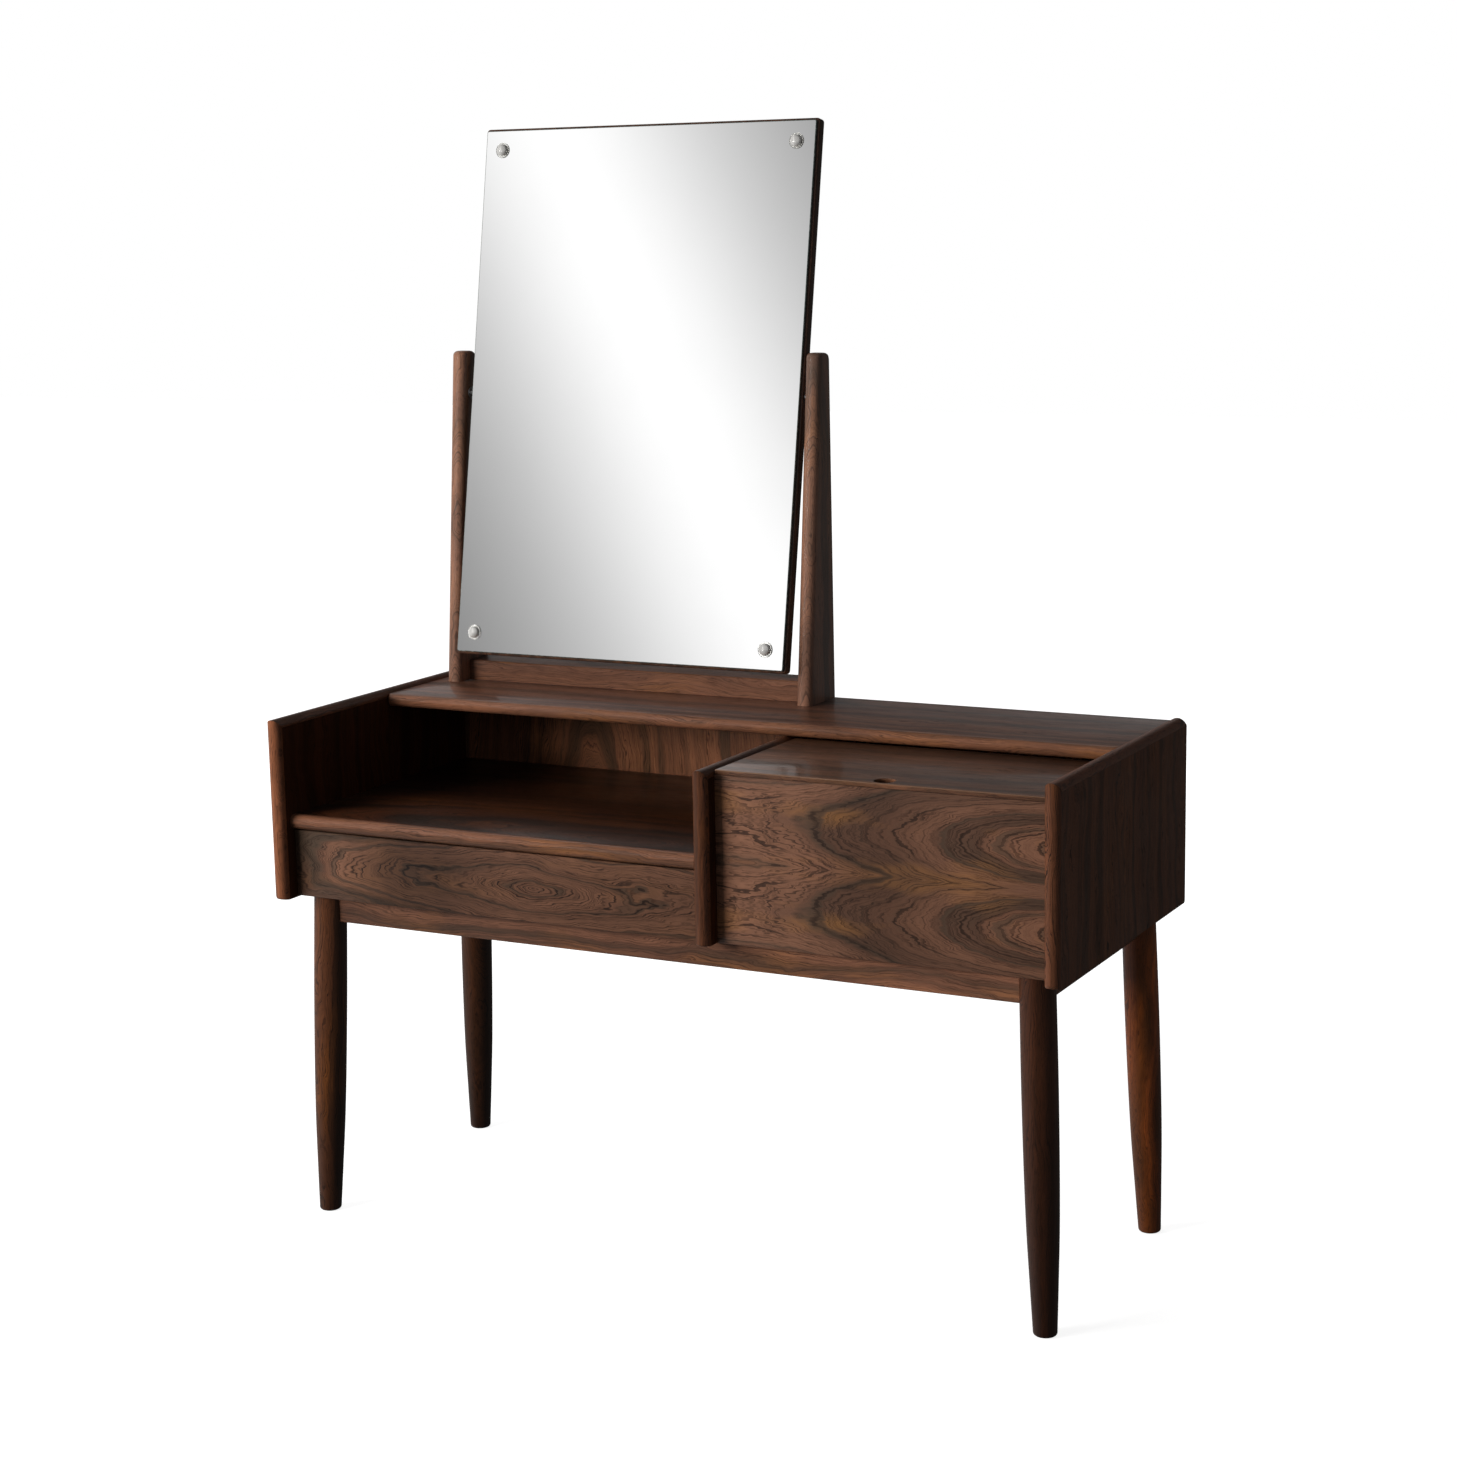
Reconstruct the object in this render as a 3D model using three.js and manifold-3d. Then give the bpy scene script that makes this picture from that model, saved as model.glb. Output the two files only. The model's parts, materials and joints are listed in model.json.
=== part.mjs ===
// Rosewood dressing table with a tilting mirror.
// Millimetres, +Z up, +X to the right, -Y towards the person who sits at it.
// The origin is on the floor under the middle of the whole piece, mirror included.
//
// The case is two upright side panels and a divider. Left of the divider is an open
// display shelf above a shallow drawer. Right of it is a deep box whose lid slides back
// under the top shelf. The case stands on four turned legs joined by an apron frame, and
// the mirror hangs on two pins between two tapered posts that stand on the top shelf.

import * as THREE from 'three';
import { mergeVertices } from 'three/addons/utils/BufferGeometryUtils.js';
import Module from 'manifold-3d';

// ---------------------------------------------------------------- case
const WIDTH = 1100;
const DEPTH = 453;
const FRONT = -249.5;                     // front edge of the side panels
const BACK = FRONT + DEPTH;
const CASE_BASE = 438;                    // underside of the case, the legs' length
const CASE_TOP = 679;
const PANEL = 20;                         // thickness of the upright panels
const SEAM = 0.2;                         // glue line between fixed pieces
const CLEARANCE = 0.3;                    // gap where one piece is cut round another
const LIPPING = 10.5;                     // depth of the solid edging on the uprights
const LIPPING_ROUND = 9.7;                // nearly a half round
const CHIN_ROUND = 6;                     // side view rounding of the edging's lower end
const HEEL_ROUND = 4;                     // and of the panels' back corners, low
const NAPE_ROUND = 9;                     // and high

const DIVIDER_X = 82;                     // middle of the divider
const DIVIDER_SETBACK = 11.5;
const DIVIDER_CHIN_ROUND = 3;
const SHELF_THICKNESS = 17;
const SHELF_TOP = CASE_TOP - 5;
const SHELF_BASE = SHELF_TOP - SHELF_THICKNESS;
const SHELF_SETBACK = 249;                // open front part of the case, front to back
const NOSING_DEPTH = 12;
const NOSING_ROUND = 7.5;
const SHELF_CORNER = 8;                   // rounding of the top shelf's front corners, in plan

const DISPLAY_TOP = 550;
const DISPLAY_THICKNESS = 19;
const DISPLAY_SETBACK = 18;
const BACK_PANEL = 6;
const BACK_PANEL_INSET = 2;
const BOTTOM_PANEL = 12;

// ---------------------------------------------------------------- box with the sliding lid
const BOX_FRONT_SETBACK = 37;
const BOX_FRONT_THICKNESS = 18;
const LID_THICKNESS = 6;
const LID_BASE = 648.5;
const LID_OVERLAP = 10;                   // length of lid already under the top shelf
const LID_SIDE_GAP = 0.8;
const FINGER_HOLE_RADIUS = 13;
const FINGER_HOLE_SETBACK = 17;           // hole centre behind the lid's front edge
const FINGER_RELIEF_DEPTH = 18;
const CLEAT_WIDTH = 12;
const CLEAT_HEIGHT = 14;

// ---------------------------------------------------------------- drawer
const DRAWER_SETBACK = 26;
const DRAWER_FRONT_THICKNESS = 18;
const DRAWER_REVEAL = 1;                  // gap round the drawer front
const DRAWER_BASE = 440.5;
const DRAWER_SIDE = 12;
const DRAWER_SIDE_BASE = 454;
const DRAWER_SIDE_TOP = 520;
const DRAWER_SIDE_GAP = 3;                // between a drawer side and the case
const DRAWER_LENGTH = 377;
const DRAWER_BOTTOM_BASE = 459;
const DRAWER_BOTTOM = 4;
const RUNNER_BASE = 482;
const RUNNER_HEIGHT = 10;
const RUNNER_REACH = 8;                   // how far a runner stands out of the case
const GROOVE_DEPTH = 6;
const RUNNER_INSET = 10;                  // front end of a runner behind the drawer front
const STOP_HEIGHT = 30;
const STOP_LENGTH = 120;

// ---------------------------------------------------------------- stand
const LEG_X = 501;                        // leg centre at the top, from the middle
const LEG_FRONT_INSET = 60.5;
const LEG_BACK_INSET = 39;
const LEG_SPLAY_X = 15;                   // how far the foot stands outside the top
const LEG_SPLAY_Y = 12;
const LEG_TOP_RADIUS = 21.8;
const FOOT_RADIUS = 14.7;
const FOOT_ROUND = 4;
const ANKLE = { width: 0.77, height: 0.12 };       // of the top radius and of the leg's length
const CALF = { width: 0.93, height: 0.33 };
const SWELL = { width: 1.01, height: 0.65 };
const APRON_HEIGHT = 35.5;
const APRON_THICKNESS = 18;
const APRON_PROUD = 8.5;                  // apron face outside the line of the leg centres
const CORNER_BLOCK = 58;
const CORNER_BLOCK_HEIGHT = 26;

// ---------------------------------------------------------------- mirror and its posts
const MIRROR_X = -225.5;
const PIVOT_Y = FRONT + 428.5;
const PIVOT_Z = 1077;
const MIRROR_TILT = THREE.MathUtils.degToRad(10);
const BOARD_WIDTH = 515;
const BOARD_HEIGHT = 731;
const BOARD_THICKNESS = 14;
const BOARD_CORNER = 5;
const BOARD_ROUND = 2;
const GLASS_BORDER = 3.5;                 // board showing round the glass
const GLASS_THICKNESS = 4;
const SCREW_INSET = 27;                   // from the glass edges
const SCREW_SHANK_RADIUS = 2;
const SCREW_HEAD_RADIUS = 8;
const SCREW_HEAD_HEIGHT = 5.5;
const SCREW_DEPTH = 9;                    // shank in the board
const WASHER_RADIUS = 10.5;
const WASHER_THICKNESS = 1.2;

const POST_THICKNESS = 22;
const POST_SPAN = 571;                    // over the posts' outer faces
const POST_BASE_FRONT = FRONT + 371;
const POST_TOP_FRONT = FRONT + 414;
const POST_BASE_BACK = FRONT + 452;
const POST_TOP_BACK = FRONT + 446.5;
const POST_TOP = 1135;
const POST_ROUND = 4;                     // rounding along the post's back edges
const POST_NOSE_ROUND = 10;               // and along its front, nearly a half round
const POST_FRONT_CORNER = 7;
const POST_BACK_CORNER = 11;
const RAIL_FRONT = FRONT + 400;
const RAIL_DEPTH = 50;
const RAIL_HEIGHT = 28;
const RAIL_ROUND = 2.5;
const PIN_RADIUS = 4;
const PIN_IN_BOARD = 22;
const PIN_BORE_RADIUS = 4.08;
const PLUG_RADIUS = 9.3;
const PLUG_DEPTH = 4;
const PLUG_RECESS = 0.5;
const PIVOT_WASHER_RADIUS = 8;
const PIVOT_WASHER_THICKNESS = 1.5;

// ---------------------------------------------------------------- derived places
const INNER_LEFT = -WIDTH / 2 + PANEL;
const INNER_RIGHT = WIDTH / 2 - PANEL;
const DIVIDER_LEFT = DIVIDER_X - PANEL / 2;
const DIVIDER_RIGHT = DIVIDER_X + PANEL / 2;
const BACK_PANEL_FACE = BACK - BACK_PANEL_INSET - BACK_PANEL;
const SHELF_FRONT = FRONT + SHELF_SETBACK;
const BOX_FRONT = FRONT + BOX_FRONT_SETBACK;
const BOX_INSIDE = BOX_FRONT + BOX_FRONT_THICKNESS;
const DRAWER_FRONT = FRONT + DRAWER_SETBACK;
const DRAWER_INSIDE = DRAWER_FRONT + DRAWER_FRONT_THICKNESS;
const LEG_FRONT_Y = FRONT + LEG_FRONT_INSET;
const LEG_BACK_Y = BACK - LEG_BACK_INSET;
const LEG_LENGTH = CASE_BASE - SEAM;
const FINGER_HOLE_X = (DIVIDER_RIGHT + INNER_RIGHT) / 2;
const FINGER_HOLE_Y = BOX_FRONT + FINGER_HOLE_SETBACK;
const POST_GAP = POST_SPAN / 2 - POST_THICKNESS;

// ---------------------------------------------------------------- materials
const wood = (color, roughness) => ({ color, roughness, metalness: 0 });
const VENEER = wood(0x4a2f22, 0.45);
const SOLID = wood(0x56352a, 0.4);
const LEG_WOOD = wood(0x3f271d, 0.4);
const INSIDE = wood(0x8a6a48, 0.6);
const PLYWOOD = wood(0xb08d63, 0.7);
const CHROME = { color: 0xd8d8da, roughness: 0.15, metalness: 1 };
const STEEL = { color: 0xa8a8ac, roughness: 0.35, metalness: 1 };
const MIRROR = { color: 0xeef0f2, roughness: 0.03, metalness: 1 };
const CLEAR_PLASTIC = { color: 0xdcdcd8, roughness: 0.3, metalness: 0 };

const table = new THREE.Group();
const mirrorGroup = new THREE.Group();
mirrorGroup.position.set(MIRROR_X, PIVOT_Y, PIVOT_Z);
mirrorGroup.rotation.x = -MIRROR_TILT;
table.add(mirrorGroup);

function addPiece(name, geometry, finish, parent = table) {
  const mesh = new THREE.Mesh(geometry, new THREE.MeshStandardMaterial(finish));
  mesh.name = name;
  parent.add(mesh);
  return mesh;
}

// ---------------------------------------------------------------- booleans
const wasm = await Module();
wasm.setup();

function toManifold(geometry) {
  const bare = geometry.clone();
  bare.deleteAttribute('normal');
  bare.deleteAttribute('uv');
  const welded = mergeVertices(bare);
  const mesh = new wasm.Mesh({
    numProp: 3,
    vertProperties: new Float32Array(welded.attributes.position.array),
    triVerts: new Uint32Array(welded.index.array),
  });
  return new wasm.Manifold(mesh);
}

function fromManifold(solid) {
  const mesh = solid.getMesh();
  const geometry = new THREE.BufferGeometry();
  geometry.setAttribute('position', new THREE.BufferAttribute(new Float32Array(mesh.vertProperties), 3));
  geometry.setIndex(new THREE.BufferAttribute(new Uint32Array(mesh.triVerts), 1));
  geometry.computeVertexNormals();
  return geometry;
}

function cutAway(geometry, ...cutters) {
  const solid = cutters.reduce((left, cutter) => left.subtract(toManifold(cutter)), toManifold(geometry));
  return fromManifold(solid);
}

function keepInside(geometry, outline) {
  return fromManifold(toManifold(geometry).intersect(toManifold(outline)));
}

// ---------------------------------------------------------------- shapes used more than once

// A square-edged board between two values on each axis.
function slab([x0, x1], [y0, y1], [z0, z1]) {
  const geometry = new THREE.BoxGeometry(x1 - x0, y1 - y0, z1 - z0);
  return geometry.translate((x0 + x1) / 2, (y0 + y1) / 2, (z0 + z1) / 2);
}

// A rectangle whose four corners, counter-clockwise from the low one, each have a radius.
function roundedRectangle([x0, x1], [y0, y1], [r1, r2, r3, r4]) {
  const shape = new THREE.Shape();
  const corner = (x, y, radius, start) => {
    if (radius === 0) {
      shape.lineTo(x, y);
      return;
    }
    const inX = x === x0 ? x + radius : x - radius;
    const inY = y === y0 ? y + radius : y - radius;
    shape.absarc(inX, inY, radius, start, start + Math.PI / 2, false);
  };
  shape.moveTo(x0 + r1, y0);
  corner(x1, y0, r2, -Math.PI / 2);
  corner(x1, y1, r3, 0);
  corner(x0, y1, r4, Math.PI / 2);
  corner(x0, y0, r1, Math.PI);
  return shape;
}

function extrude(shape, depth, curveSegments = 4) {
  return new THREE.ExtrudeGeometry(shape, { depth, steps: 1, curveSegments, bevelEnabled: false });
}

// Lays an outline drawn in (y, z) along X from x0.
function alongX(geometry, x0) {
  const turn = new THREE.Matrix4().makeBasis(
    new THREE.Vector3(0, 1, 0),
    new THREE.Vector3(0, 0, 1),
    new THREE.Vector3(1, 0, 0),
  );
  return geometry.applyMatrix4(turn).translate(x0, 0, 0);
}

// A round bar along X, centred on (y, z).
function barAlongX(radius, x0, x1, y, z, sides = 24) {
  const geometry = new THREE.CylinderGeometry(radius, radius, x1 - x0, sides);
  return geometry.rotateZ(Math.PI / 2).translate((x0 + x1) / 2, y, z);
}

// A round bar along Y, centred on (x, z).
function barAlongY(radius, x, y0, y1, z, sides = 16) {
  const geometry = new THREE.CylinderGeometry(radius, radius, y1 - y0, sides);
  return geometry.translate(x, (y0 + y1) / 2, z);
}

// ---------------------------------------------------------------- upright panels

// Solid edging with two rounded outer edges. Its depth runs along local y and its length
// along local z; one end is cut at 45 degrees so that two of them meet in a mitre.
function edging(length, mitredEnd) {
  const rounds = [LIPPING_ROUND, LIPPING_ROUND, 0, 0];
  const geometry = extrude(roundedRectangle([0, PANEL], [0, LIPPING], rounds), length, 7);
  const points = geometry.attributes.position;
  const mitreAt = mitredEnd === 'far' ? length : 0;
  const inward = mitredEnd === 'far' ? -1 : 1;
  for (let i = 0; i < points.count; i += 1) {
    if (Math.abs(points.getZ(i) - mitreAt) < SEAM) {
      points.setZ(i, mitreAt + inward * (points.getY(i) + SEAM / 2));
    }
  }
  return geometry;
}

// rounds are the side view corners: front low, back low, back high, front high.
function addUpright(name, left, front, top, back, rounds) {
  const side = extrude(roundedRectangle([front, back], [CASE_BASE, top], rounds), PANEL + 2);
  const sideView = alongX(side, left - 1);
  const core = slab([left, left + PANEL], [front + LIPPING + SEAM, back], [CASE_BASE, top - LIPPING - SEAM]);
  addPiece(name, keepInside(core, sideView), VENEER);
  const frontEdge = edging(top - CASE_BASE, 'far').translate(left, front, CASE_BASE);
  addPiece(`${name}_front_edging`, keepInside(frontEdge, sideView), SOLID);
  const topEdge = edging(back - front, 'near').rotateX(-Math.PI / 2).translate(left, front, top);
  addPiece(`${name}_top_edging`, keepInside(topEdge, sideView), SOLID);
}

const panelRounds = [CHIN_ROUND, HEEL_ROUND, NAPE_ROUND, 0];
const dividerRounds = [DIVIDER_CHIN_ROUND, 0, 0, 0];
const dividerBack = BACK_PANEL_FACE - SEAM;
addUpright('left_side_panel', -WIDTH / 2, FRONT, CASE_TOP, BACK, panelRounds);
addUpright('right_side_panel', INNER_RIGHT, FRONT, CASE_TOP, BACK, panelRounds);
addUpright('centre_divider', DIVIDER_LEFT, FRONT + DIVIDER_SETBACK, SHELF_BASE - SEAM, dividerBack, dividerRounds);

// ---------------------------------------------------------------- shelves and panels

// A half-round nosing strip along the front edge of a shelf.
function nosing([x0, x1], front, base, top) {
  const rounds = [NOSING_ROUND, 0, 0, NOSING_ROUND];
  const outline = roundedRectangle([front, front + NOSING_DEPTH], [base, top], rounds);
  return alongX(extrude(outline, x1 - x0, 5), x0);
}

const acrossCase = [INNER_LEFT + SEAM, INNER_RIGHT - SEAM];
const acrossLeft = [INNER_LEFT + SEAM, DIVIDER_LEFT - SEAM];
const acrossRight = [DIVIDER_RIGHT + SEAM, INNER_RIGHT - SEAM];

function addTopShelf() {
  const heights = [SHELF_BASE, SHELF_TOP];
  addPiece('top_shelf', slab(acrossCase, [SHELF_FRONT + NOSING_DEPTH + SEAM, BACK], heights), VENEER);
  const strip = nosing(acrossCase, SHELF_FRONT, ...heights);
  const rounds = [SHELF_CORNER, SHELF_CORNER, 0, 0];
  const plan = roundedRectangle(acrossCase, [SHELF_FRONT, SHELF_FRONT + NOSING_DEPTH], rounds);
  const cutter = extrude(plan, 2 * SHELF_THICKNESS).translate(0, 0, SHELF_BASE - SHELF_THICKNESS / 2);
  addPiece('top_shelf_nosing', keepInside(strip, cutter), SOLID);
}

function addDisplayShelf() {
  const front = FRONT + DISPLAY_SETBACK;
  const heights = [DISPLAY_TOP - DISPLAY_THICKNESS, DISPLAY_TOP];
  const depths = [front + NOSING_DEPTH + SEAM, BACK_PANEL_FACE - SEAM];
  addPiece('display_shelf', slab(acrossLeft, depths, heights), VENEER);
  addPiece('display_shelf_nosing', nosing(acrossLeft, front, ...heights), SOLID);
}

function addPanels() {
  const backDepths = [BACK_PANEL_FACE, BACK_PANEL_FACE + BACK_PANEL];
  addPiece('back_panel', slab(acrossCase, backDepths, [CASE_BASE, SHELF_BASE - SEAM]), VENEER);
  const heights = [CASE_BASE, CASE_BASE + BOTTOM_PANEL];
  const behind = BACK_PANEL_FACE - SEAM;
  addPiece('left_bottom_panel', slab(acrossLeft, [DRAWER_INSIDE + DRAWER_REVEAL, behind], heights), INSIDE);
  addPiece('right_bottom_panel', slab(acrossRight, [BOX_INSIDE + SEAM, behind], heights), INSIDE);
}

addTopShelf();
addDisplayShelf();
addPanels();

// ---------------------------------------------------------------- box with the sliding lid

function fingerHole(base, top) {
  const hole = new THREE.CylinderGeometry(FINGER_HOLE_RADIUS, FINGER_HOLE_RADIUS, top - base, 32);
  return hole.rotateX(Math.PI / 2).translate(FINGER_HOLE_X, FINGER_HOLE_Y, (base + top) / 2);
}

function addLidBox() {
  const frontTop = LID_BASE - SEAM;
  const front = slab(acrossRight, [BOX_FRONT, BOX_INSIDE], [CASE_BASE, frontTop]);
  const relief = fingerHole(frontTop - FINGER_RELIEF_DEPTH, frontTop + 1);
  addPiece('compartment_front', cutAway(front, relief), VENEER);

  const depths = [BOX_INSIDE + SEAM, BACK_PANEL_FACE - SEAM];
  const heights = [frontTop - CLEAT_HEIGHT, frontTop];
  const [left, right] = acrossRight;
  addPiece('lid_cleat_left', slab([left, left + CLEAT_WIDTH], depths, heights), INSIDE);
  addPiece('lid_cleat_right', slab([right - CLEAT_WIDTH, right], depths, heights), INSIDE);

  const lidDepths = [BOX_FRONT, SHELF_FRONT + LID_OVERLAP];
  const lid = slab([left + LID_SIDE_GAP, right - LID_SIDE_GAP], lidDepths, [LID_BASE, LID_BASE + LID_THICKNESS]);
  addPiece('sliding_lid', cutAway(lid, fingerHole(LID_BASE - 1, LID_BASE + LID_THICKNESS + 1)), VENEER);
}

addLidBox();

// ---------------------------------------------------------------- drawer

// A drawer side with a groove along its outer face for the runner. side is -1 or 1.
function drawerSide(side, outer) {
  const inner = outer - side * DRAWER_SIDE;
  const grooved = outer - side * GROOVE_DEPTH;
  const grooveBase = RUNNER_BASE - CLEARANCE;
  const grooveTop = RUNNER_BASE + RUNNER_HEIGHT + CLEARANCE;
  const shape = new THREE.Shape([
    new THREE.Vector2(inner, -DRAWER_SIDE_BASE),
    new THREE.Vector2(outer, -DRAWER_SIDE_BASE),
    new THREE.Vector2(outer, -grooveBase),
    new THREE.Vector2(grooved, -grooveBase),
    new THREE.Vector2(grooved, -grooveTop),
    new THREE.Vector2(outer, -grooveTop),
    new THREE.Vector2(outer, -DRAWER_SIDE_TOP),
    new THREE.Vector2(inner, -DRAWER_SIDE_TOP),
  ]);
  const start = DRAWER_INSIDE + SEAM;
  return extrude(shape, DRAWER_LENGTH).rotateX(-Math.PI / 2).translate(0, start, 0);
}

function addDrawer() {
  const left = INNER_LEFT + DRAWER_REVEAL;
  const right = DIVIDER_LEFT - DRAWER_REVEAL;
  const frontTop = DISPLAY_TOP - DISPLAY_THICKNESS - 2 * DRAWER_REVEAL;
  const front = slab([left, right], [DRAWER_FRONT, DRAWER_INSIDE], [DRAWER_BASE, frontTop]);
  addPiece('drawer_front', front, VENEER);

  const outerLeft = INNER_LEFT + DRAWER_SIDE_GAP;
  const outerRight = DIVIDER_LEFT - DRAWER_SIDE_GAP;
  addPiece('drawer_side_left', drawerSide(-1, outerLeft), INSIDE);
  addPiece('drawer_side_right', drawerSide(1, outerRight), INSIDE);

  const between = [outerLeft + DRAWER_SIDE + SEAM, outerRight - DRAWER_SIDE - SEAM];
  const start = DRAWER_INSIDE + SEAM;
  const end = start + DRAWER_LENGTH;
  const bottomTop = DRAWER_BOTTOM_BASE + DRAWER_BOTTOM;
  const backHeights = [bottomTop + SEAM, DRAWER_SIDE_TOP];
  addPiece('drawer_back', slab(between, [end - DRAWER_SIDE, end], backHeights), INSIDE);
  addPiece('drawer_bottom', slab(between, [start, end], [DRAWER_BOTTOM_BASE, bottomTop]), PLYWOOD);
}

function addDrawerRunners() {
  const depths = [DRAWER_INSIDE + RUNNER_INSET, BACK_PANEL_FACE - SEAM];
  const heights = [RUNNER_BASE, RUNNER_BASE + RUNNER_HEIGHT];
  const [left, right] = acrossLeft;
  addPiece('drawer_runner_left', slab([left, left + RUNNER_REACH], depths, heights), INSIDE);
  addPiece('drawer_runner_right', slab([right - RUNNER_REACH, right], depths, heights), INSIDE);

  const stopFront = DRAWER_INSIDE + DRAWER_LENGTH + 2 * SEAM;
  const stopHeights = [CASE_BASE + BOTTOM_PANEL + SEAM, CASE_BASE + BOTTOM_PANEL + STOP_HEIGHT];
  const stopLeft = (left + right - STOP_LENGTH) / 2;
  const stopDepths = [stopFront, BACK_PANEL_FACE - SEAM];
  addPiece('drawer_stop', slab([stopLeft, stopLeft + STOP_LENGTH], stopDepths, stopHeights), INSIDE);
}

addDrawer();
addDrawerRunners();

// ---------------------------------------------------------------- legs and apron frame

// A turned leg that swells a little above its middle and ends in a small rounded foot.
// It is sheared rather than turned, so that its top and its foot stay level.
function leg(sideX, sideY, grow = 0) {
  const between = [ANKLE, CALF, SWELL].map(({ width, height }) => (
    new THREE.Vector2(width * LEG_TOP_RADIUS + grow, height * LEG_LENGTH)
  ));
  const taper = new THREE.SplineCurve([
    new THREE.Vector2(FOOT_RADIUS + grow, FOOT_ROUND),
    ...between,
    new THREE.Vector2(LEG_TOP_RADIUS + grow, LEG_LENGTH),
  ]);
  const foot = new THREE.Path();
  foot.absarc(FOOT_RADIUS - FOOT_ROUND + grow, FOOT_ROUND, FOOT_ROUND, -Math.PI / 2, 0, false);
  const profile = [
    new THREE.Vector2(0, 0),
    ...foot.getPoints(4),
    ...taper.getPoints(14).slice(1),
    new THREE.Vector2(0, LEG_LENGTH),
  ];
  const splay = new THREE.Matrix4().set(
    1, 0, -sideX * LEG_SPLAY_X / LEG_LENGTH, sideX * (LEG_X + LEG_SPLAY_X),
    0, 1, -sideY * LEG_SPLAY_Y / LEG_LENGTH, (sideY < 0 ? LEG_FRONT_Y : LEG_BACK_Y) + sideY * LEG_SPLAY_Y,
    0, 0, 1, 0,
    0, 0, 0, 1,
  );
  return new THREE.LatheGeometry(profile, 28).rotateX(Math.PI / 2).applyMatrix4(splay);
}

const corners = [
  ['front_left', -1, -1],
  ['front_right', 1, -1],
  ['back_left', -1, 1],
  ['back_right', 1, 1],
];

function addApronFrame() {
  const top = CASE_BASE - SEAM;
  const heights = [top - APRON_HEIGHT, top];
  const frontFace = LEG_FRONT_Y - APRON_PROUD;
  const backFace = LEG_BACK_Y + APRON_PROUD;
  const sideFace = LEG_X + APRON_PROUD;
  const legSpace = corners.map(([, sideX, sideY]) => leg(sideX, sideY, CLEARANCE));

  const frontApron = slab([-LEG_X, LEG_X], [frontFace, frontFace + APRON_THICKNESS], heights);
  const backApron = slab([-LEG_X, LEG_X], [backFace - APRON_THICKNESS, backFace], heights);
  addPiece('front_apron', cutAway(frontApron, ...legSpace), SOLID);
  addPiece('back_apron', cutAway(backApron, ...legSpace), SOLID);
  for (const [name, side] of [['left_apron', -1], ['right_apron', 1]]) {
    const faces = [side * sideFace, side * (sideFace - APRON_THICKNESS)].sort((a, b) => a - b);
    addPiece(name, cutAway(slab(faces, [LEG_FRONT_Y, LEG_BACK_Y], heights), ...legSpace), SOLID);
  }

  // Three-cornered blocks glued behind each leg, into the angle of two aprons.
  for (const [name, sideX, sideY] of corners) {
    const x = sideX * (sideFace - APRON_THICKNESS - SEAM);
    const y = (sideY < 0 ? frontFace : backFace) - sideY * (APRON_THICKNESS + SEAM);
    const block = new THREE.Shape([
      new THREE.Vector2(x, y),
      new THREE.Vector2(x - sideX * CORNER_BLOCK, y),
      new THREE.Vector2(x, y - sideY * CORNER_BLOCK),
    ]);
    const geometry = extrude(block, CORNER_BLOCK_HEIGHT).translate(0, 0, top - CORNER_BLOCK_HEIGHT);
    addPiece(`corner_block_${name}`, cutAway(geometry, ...legSpace), INSIDE);
  }
}

for (const [name, sideX, sideY] of corners) {
  addPiece(`leg_${name}`, leg(sideX, sideY), LEG_WOOD);
}
addApronFrame();

// ---------------------------------------------------------------- posts, rail and pivots

// Side view of a post: nearly upright at the back, leaning back at the front.
function postOutline(base) {
  const frontSlope = (POST_TOP_FRONT - POST_BASE_FRONT) / (POST_TOP - SHELF_TOP);
  const shape = new THREE.Shape();
  shape.moveTo(POST_BASE_FRONT - frontSlope * (SHELF_TOP - base), base);
  shape.lineTo(POST_BASE_BACK, base);
  shape.lineTo(POST_TOP_BACK, POST_TOP - POST_BACK_CORNER);
  shape.quadraticCurveTo(POST_TOP_BACK, POST_TOP, POST_TOP_BACK - POST_BACK_CORNER, POST_TOP);
  shape.lineTo(POST_TOP_FRONT + POST_FRONT_CORNER, POST_TOP);
  const turnZ = POST_TOP - POST_FRONT_CORNER;
  shape.quadraticCurveTo(POST_TOP_FRONT, POST_TOP, POST_TOP_FRONT - frontSlope * POST_FRONT_CORNER, turnZ);
  return shape;
}

// A round-nosed prism that leans back as the post's front does.
function postNose(low, base) {
  const rounds = [POST_NOSE_ROUND, POST_NOSE_ROUND, 0, 0];
  const plan = roundedRectangle([low, low + POST_THICKNESS], [POST_BASE_FRONT, 2 * BACK], rounds);
  const lean = (POST_TOP_FRONT - POST_BASE_FRONT) / (POST_TOP - SHELF_TOP);
  const shear = new THREE.Matrix4().set(
    1, 0, 0, 0,
    0, 1, lean, 0,
    0, 0, 1, 0,
    0, 0, 0, 1,
  );
  const nose = extrude(plan, POST_TOP - SHELF_TOP + 2 * POST_ROUND, 6);
  return nose.translate(0, 0, -POST_ROUND).applyMatrix4(shear).translate(0, 0, base);
}

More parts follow.
